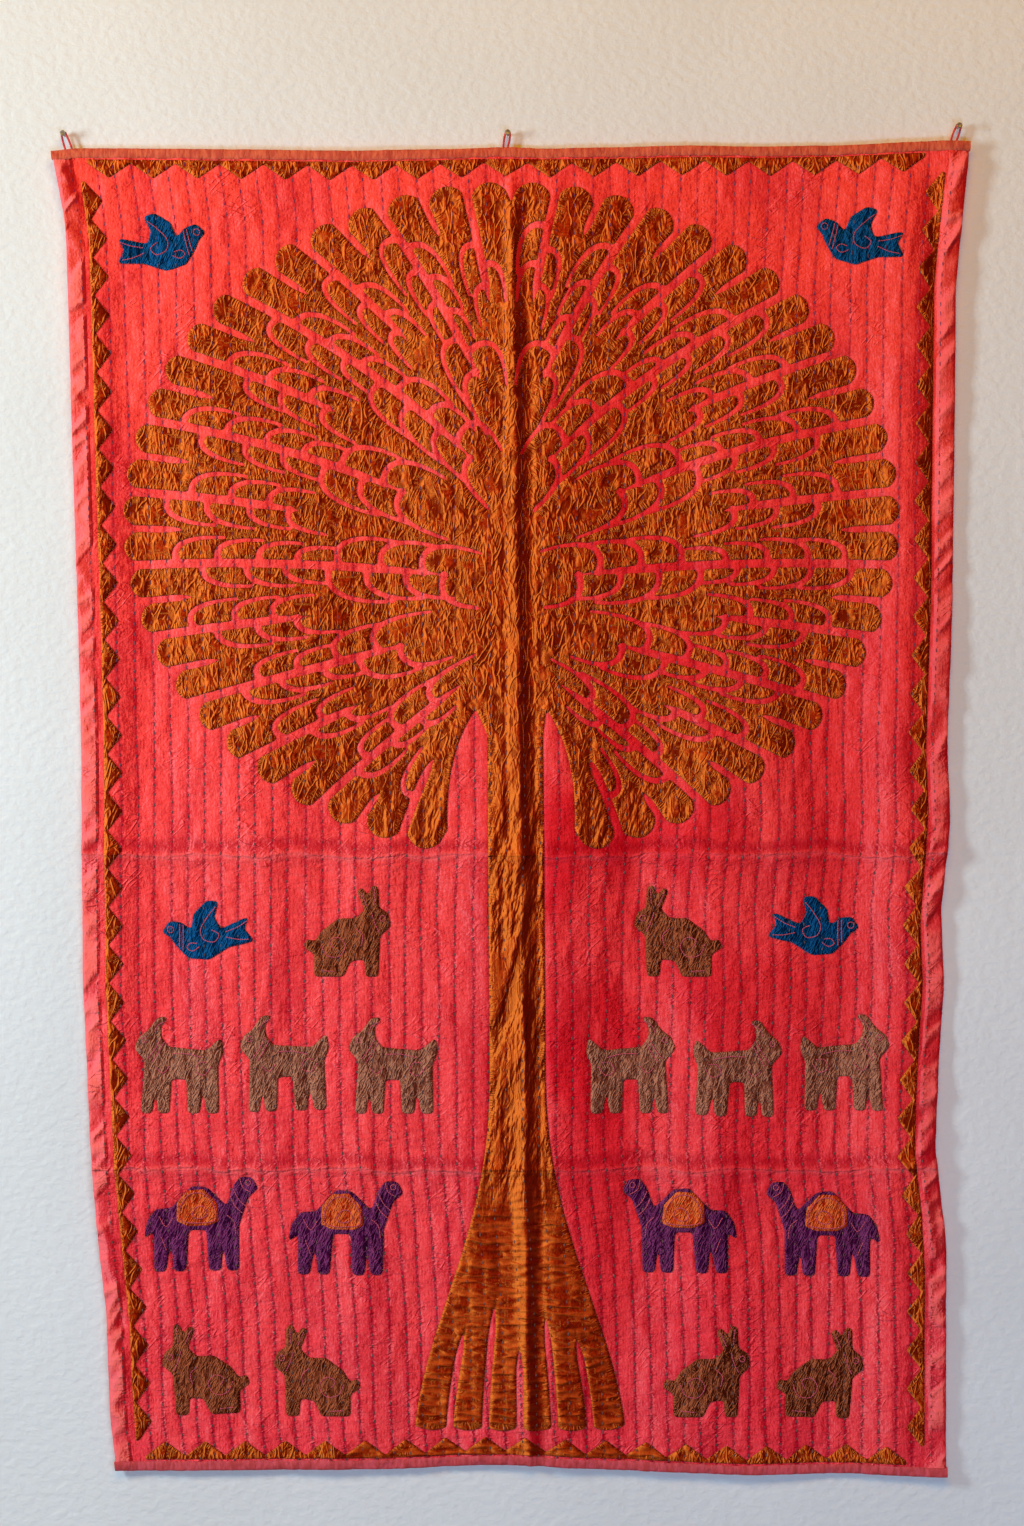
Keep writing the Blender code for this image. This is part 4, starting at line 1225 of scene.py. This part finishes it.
# where they are sewn: kind, x, z, facing (1 right, -1 left), turn in degrees
HERD = (
    ("dove", -0.395, -0.135, 1, 8), ("dove", 0.402, -0.128, -1, -8),
    ("dove", -0.345, -0.925, -1, 6), ("dove", 0.352, -0.920, 1, -6),
    ("hare", -0.180, -0.925, 1, 0), ("hare", 0.192, -0.925, -1, 0),
    ("hare", -0.222, -1.430, -1, 0), ("hare", -0.350, -1.428, -1, 2),
    ("hare", 0.232, -1.430, 1, 0), ("hare", 0.362, -1.432, 1, -2),
    ("goat", -0.132, -1.075, -1, 0), ("goat", -0.256, -1.072, -1, 2),
    ("goat", -0.378, -1.075, -1, 0), ("goat", 0.142, -1.075, 1, 0),
    ("goat", 0.264, -1.078, 1, -2), ("goat", 0.388, -1.072, 1, 0),
    ("camel", -0.186, -1.252, 1, 0), ("camel", -0.352, -1.248, 1, 1),
    ("camel", 0.198, -1.250, -1, 0), ("camel", 0.362, -1.254, -1, -1),
)
# each kind's embroidered eye, in millimetres: x, z, radius
EYES = {"dove": (41, 15, 3.6), "hare": (37, 24, 3.2), "goat": (39, 34, 3.0), "camel": (55, 43, 3.0)}
# and its embroidered lines, in millimetres: x, z of their points
LINES = {
    "dove": (((30, 20), (31, 8), (33, -6)), ((26, 19), (27, 6), (29, -10)),
             ((-14, 36), (-4, 26), (6, 12), (4, 0), (-8, -4), (-14, 4), (-6, 10)),
             ((-48, 16), (-36, 10), (-22, 6)), ((-48, -5), (-36, -4), (-22, 0)),
             ((10, -8), (18, -12), (24, -8), (20, -3), (12, -4))),
    "hare": (((24, 31), (28, 18), (33, 8)), ((28, 58), (27, 40)), ((12, 54), (19, 38)),
             ((-34, -6), (-28, -18), (-14, -20), (-6, -8), (-14, 2), (-24, -2), (-20, -10)),
             ((-34, -36), (-18, -37)), ((6, 12), (14, 4), (12, -8))),
    "goat": (((20, 36), (28, 22), (36, 12)), ((16, 32), (24, 18), (31, 8)),
             ((-28, 14), (-10, 18), (8, 18)), ((-38, 4), (-30, -6), (-20, -2), (-24, 8), (-34, 8)),
             ((14, 56), (24, 50), (27, 42)), ((10, 4), (18, -4), (26, 2))),
    "camel": (((46, 48), (49, 38), (58, 32)), ((38, 36), (44, 24), (52, 16)),
              ((34, 28), (40, 16), (48, 8)), ((-48, 6), (-40, -6), (-32, 4)),
              ((30, 6), (38, -2), (40, -16)), ((-46, -18), (-40, -34))),
}
SADDLE_TRIM = (((-23, 17), (-13, 30), (3, 31), (15, 18), (17, 2), (8, -2), (-14, -2), (-24, 3),
                (-23, 17)),
               ((-10, 8), (-4, 16), (4, 16), (8, 8), (2, 3), (-6, 3), (-10, 8)))
CHAIN_PITCH = 2.6             # between chain stitches, in millimetres


def smooth_line(points, spacing):
    """Evenly spaced places on a smooth curve through points, with the direction there."""
    points = np.array(points, float)
    ends = np.vstack([points[0], points, points[-1]])
    line = []
    for a, b, c, d in zip(ends, ends[1:], ends[2:], ends[3:]):
        for t in np.linspace(0, 1, 12, endpoint=False):
            line.append(0.5 * (2 * b + (c - a) * t + (2 * a - 5 * b + 4 * c - d) * t * t
                               + (3 * b - a - 3 * c + d) * t ** 3))
    line = np.array(line + [points[-1]])
    lengths = np.concatenate([[0], np.cumsum(np.hypot(*np.diff(line, axis=0).T))])
    count = max(int(lengths[-1] / spacing), 2)
    at = (np.arange(count) + 0.5) * lengths[-1] / count
    before = np.maximum(at - 0.3 * spacing, 0)
    after = np.minimum(at + 0.3 * spacing, lengths[-1])
    spots, backs, fronts = ([np.interp(where, lengths, line[:, i]) for i in (0, 1)]
                            for where in (at, before, after))
    return *spots, np.arctan2(fronts[1] - backs[1], fronts[0] - backs[0])


def embroidery(material):
    """Pink chain stitch: eyes, collars and flourishes on the animals."""
    stitches = []
    for kind, at_x, at_z, facing, turn in HERD:
        x, z, radius = EYES[kind]
        eye = [(x + radius * math.cos(a), z + radius * math.sin(a))
               for a in np.linspace(0, 2 * math.pi, 9)]
        routes = [(line, 0.0) for line in (eye,) + LINES[kind]]
        if kind == "camel":
            routes += [(line, LAYER) for line in SADDLE_TRIM]
        angle = math.radians(turn)
        for route, lift in routes:
            x, z, way = smooth_line(route, CHAIN_PITCH)
            x = x * facing
            way = np.where(facing > 0, way, math.pi - way)
            stitches.append((at_x + MM * (x * math.cos(angle) - z * math.sin(angle)),
                             at_z + MM * (x * math.sin(angle) + z * math.cos(angle)),
                             way + angle, np.full(len(x), lift)))
    x, z, way, lift = (np.concatenate(values) for values in zip(*stitches))
    y = -(top_face(x, z) + lift + 0.35 * MM)
    add_piece("chain_stitch", thread_mesh("chain_stitch", 6, 4, x, y, z, way, 3.0 * MM, 1.2 * MM),
              material)


# ---------------------------------------------------------------- loops and nails

CORD_R = 1.3 * MM
PLY_R = 0.68 * MM
PLY_OUT = 0.66                # from the cord's middle to a ply's, in millimetres
PLY_TURN = 6.5                # one turn of the plies, in millimetres
CORD_STEP = 0.45
CORD_BACK = 1.7 * MM          # the cord's front, behind the hanging's back: the binding and gaps
SHANK_R = 1.1 * MM
SHANK_GAP = 0.3 * MM
# each nail's head, and its loop's two strands from the sewn end up, in millimetres from the nail
NAILS = (
    ("left", -0.510, -0.001,
     ((4.5, -32), (2.2, -19), (-1.0, -8)), ((6.3, -8), (9.6, -18), (10.6, -32))),
    ("middle", 0.000, 0.000,
     ((-4.6, -32), (-4.9, -15), (-4.0, -6)), ((2.2, -7), (-0.2, -17), (-1.0, -32))),
    ("right", 0.518, 0.008,
     ((-9.4, -34), (-9.0, -18), (-6.0, -7)), ((0.6, -8), (-3.0, -19), (-4.8, -34))),
)
# a nail's profile from its point to its head, in millimetres: radius, distance out of the wall
NAIL_PROFILE = ((0, -20), (1.1, -16), (1.1, 13.2), (1.3, 13.6), (3.1, 13.8), (3.3, 14.0),
                (3.3, 14.5), (3.1, 14.8), (2.4, 14.95), (2.1, 14.85), (0, 14.9))


def cord_mesh(name, nail_x, nail_z, rising, falling):
    """Three plies twisted round the loop's line, over the nail and back down."""
    y = CORD_BACK + CORD_R - float(stand_off(np.array(nail_x), np.array(-0.02)))
    bend = (SHANK_R + SHANK_GAP + CORD_R) / MM
    over = tuple((-bend * math.cos(math.radians(a)), bend * math.sin(math.radians(a)))
                 for a in range(0, 181, 30))
    x, z, way = smooth_line(rising + over + falling, CORD_STEP)
    shape = bmesh.new()
    for ply in range(3):
        curve = bpy.data.curves.new(name, "CURVE")
        curve.dimensions = "3D"
        curve.bevel_depth = PLY_R
        curve.bevel_resolution = 1
        curve.use_fill_caps = True
        line = curve.splines.new("POLY")
        line.points.add(len(x) - 1)
        turn = 2 * math.pi * (np.arange(len(x)) * CORD_STEP / PLY_TURN + ply / 3)
        side = PLY_OUT * np.cos(turn)
        spots = (nail_x + (x - side * np.sin(way)) * MM, y + PLY_OUT * MM * np.sin(turn),
                 nail_z + (z + side * np.cos(way)) * MM, np.ones(len(x)))
        line.points.foreach_set("co", np.column_stack(spots).ravel())
        item = bpy.data.objects.new(name, curve)
        shape.from_mesh(bpy.data.meshes.new_from_object(item))
        bpy.data.objects.remove(item)
    return mesh_of(name, shape)


def nail_mesh(name, x, z):
    """A wire nail turned about its own level axis."""
    shape = bmesh.new()
    points = [shape.verts.new((radius * MM, -out * MM, 0)) for radius, out in NAIL_PROFILE]
    edges = [shape.edges.new(pair) for pair in zip(points, points[1:])]
    bmesh.ops.spin(shape, geom=points + edges, cent=(0, 0, 0), axis=(0, 1, 0), angle=2 * math.pi,
                   steps=24, use_merge=True)
    bmesh.ops.remove_doubles(shape, verts=shape.verts, dist=0.01 * MM)
    bmesh.ops.translate(shape, verts=shape.verts, vec=(x, 0, z))
    bmesh.ops.recalc_face_normals(shape, faces=shape.faces)
    return mesh_of(name, shape)


# ---------------------------------------------------------------- the scene

def make_hanging():
    """Every piece of the hanging with its loops and nails, the cut edges first, because what
    lies on the ground presses it back and is stitched on."""
    ochre = (ochre_sateen(), "ochre_sateen")
    cloths = {
        "dove": (dyed_cotton("indigo cotton", "01142E", "023A66", "14588C"), "blue_cotton"),
        "hare": (dyed_cotton("walnut brown cotton", "3C0C02", "84361A", "B8603C", 0.50),
                 "brown_cotton"),
        "goat": (dyed_cotton("taupe cotton", "5A1E10", "90503A", "C07C60"), "taupe_cotton"),
        "camel": (dyed_cotton("purple cotton", "2A0222", "5E1248", "8A3A6A", 0.35),
                  "purple_cotton"),
        "saddle": (dyed_cotton("burnt orange cotton", "9C1804", "DE3E12", "F4763A"),
                   "orange_cotton"),
    }
    tree = cut_tree()
    borders = {"border_" + side: cut_of_node("border_" + side, 0)
               for side in ("top", "bottom", "left", "right")}
    kinds = [kind for kind, *_ in HERD]
    motifs = {}
    for number, kind in enumerate(kinds):
        name = f"{kind}_{kinds[:number + 1].count(kind)}"
        motifs[name] = cut_of_node(name, 2)
    for cut in [tree, *borders.values(), *motifs.values()]:
        lay(cut)

    ground_sheet(coral_cotton())
    upper, lower = (crease_z for crease_z, _, _ in CREASE_ROWS)
    cut_sheet("tree", "_cloth", tree, 2.4 * MM, ochre, upper, 60)
    for name, cut in borders.items():
        upright = name in ("border_left", "border_right")
        cut_sheet(name, "_cloth", cut, 2.2 * MM, ochre, upper, 61,
                  width=BORDER_WIDTH if upright else None)
    for kind, (name, cut) in zip(kinds, motifs.items()):
        cut_sheet(name, "_cloth", cut, 1.9 * MM, cloths[kind], lower, 62, 0.5)
    saddles = []
    for number in range(1, 5):
        saddles.append(cut_of_node(f"saddle_cloth_{number}", 1))
        cut_sheet(f"saddle_cloth_{number}", "_face", saddles[-1], 1.9 * MM, cloths["saddle"],
                  lower, 63, 0.5, LAYER)
    salmon = salmon_cotton()
    binding_sheet("top", salmon)
    binding_sheet("bottom", salmon)

    running_stitches(cotton_thread("violet and grey quilting thread", "642656", "5A3C3A", "8A6A64"))
    gold = cotton_thread("ochre sewing thread", "B06A22", "A8632A", "6A2A14")
    slip_stitches("slip_stitches", [tree, *borders.values()], gold, 4.4 * MM, 2.0 * MM)
    slip_stitches("motif_stitches", [*motifs.values(), *saddles], gold, 5.0 * MM, 1.8 * MM)
    embroidery(cotton_thread("rose embroidery thread", "C8505E", "D0586A", "9A3440"))
    cord = twisted_cord()
    steel = wire_steel()
    for side, x, z, rising, falling in NAILS:
        name = f"loop_{side}_cord"
        add_piece(name, cord_mesh(name, x, z, rising, falling), cord, "coral_cord", "loop_" + side)
        name = f"nail_{side}_wire"
        add_piece(name, nail_mesh(name, x, z), steel, "steel", "nail_" + side)


def link_new(name, data):
    item = bpy.data.objects.new(name, data)
    bpy.context.collection.objects.link(item)
    return item


def make_stage():
    """The wall that the nails are in, and a floor below it."""
    for name, finish in (("wall", plaster_wall()), ("floor", floor_boards())):
        mesh = grid_mesh(name, 2, 2)[0]
        x, y, _ = places(mesh).T
        if name == "wall":
            set_places(mesh, 4 * x, 0 * x, 2.3 * y + 0.5)
        else:
            set_places(mesh, 4 * x, 2.5 * y - 2.5, 0 * x - 1.8)
        mesh.materials.append(finish)
        item = link_new(name, mesh)
        item.visible_shadow = name != "wall"


def make_lights():
    """A cool window at the left, warm light from above, and weak fill from below and behind."""
    for name, at, target, size, power, colour in (
            ("window", (-2.2, -1.15, -0.15), (0.1, 0, -0.60), (0.40, 0.8), 62, "D6F3FF"),
            ("warm", (0.1, -2.4, 1.6), (0, 0, -0.2), (2.4, 1.0), 62, "FFBA00"),
            ("low", (0.6, -2.6, -1.5), (0, 0, -1.3), (2.4, 0.5), 42, "A7CFFF"),
            ("behind", (0.6, 2.4, 0.6), (0, 0, -0.8), (2.4, 1.6), 40, "FFFFFF")):
        lamp = bpy.data.lights.new(name, "AREA")
        lamp.shape = "RECTANGLE"
        lamp.size, lamp.size_y = size
        lamp.energy = power
        lamp.color = linear(colour)[:3]
        item = link_new(name, lamp)
        item.location = at
        item.rotation_euler = (Vector(target) - Vector(at)).to_track_quat("-Z", "Y").to_euler()
    world = bpy.data.worlds.new("room light")
    world.use_nodes = True
    background = world.node_tree.nodes["Background"]
    background.inputs["Color"].default_value = linear("EDEFF4")
    background.inputs["Strength"].default_value = 0.03
    bpy.context.scene.world = world


def make_camera():
    """Level with the middle of the hanging, square to the wall."""
    camera = bpy.data.cameras.new("camera")
    camera.lens = 61.7
    item = link_new("camera", camera)
    item.location = (0.005, -3.012, -0.723)
    item.rotation_euler = (math.radians(90), 0, 0)
    bpy.context.scene.camera = item


make_hanging()
make_stage()
make_lights()
make_camera()
bpy.context.scene.view_settings.view_transform = "Standard"
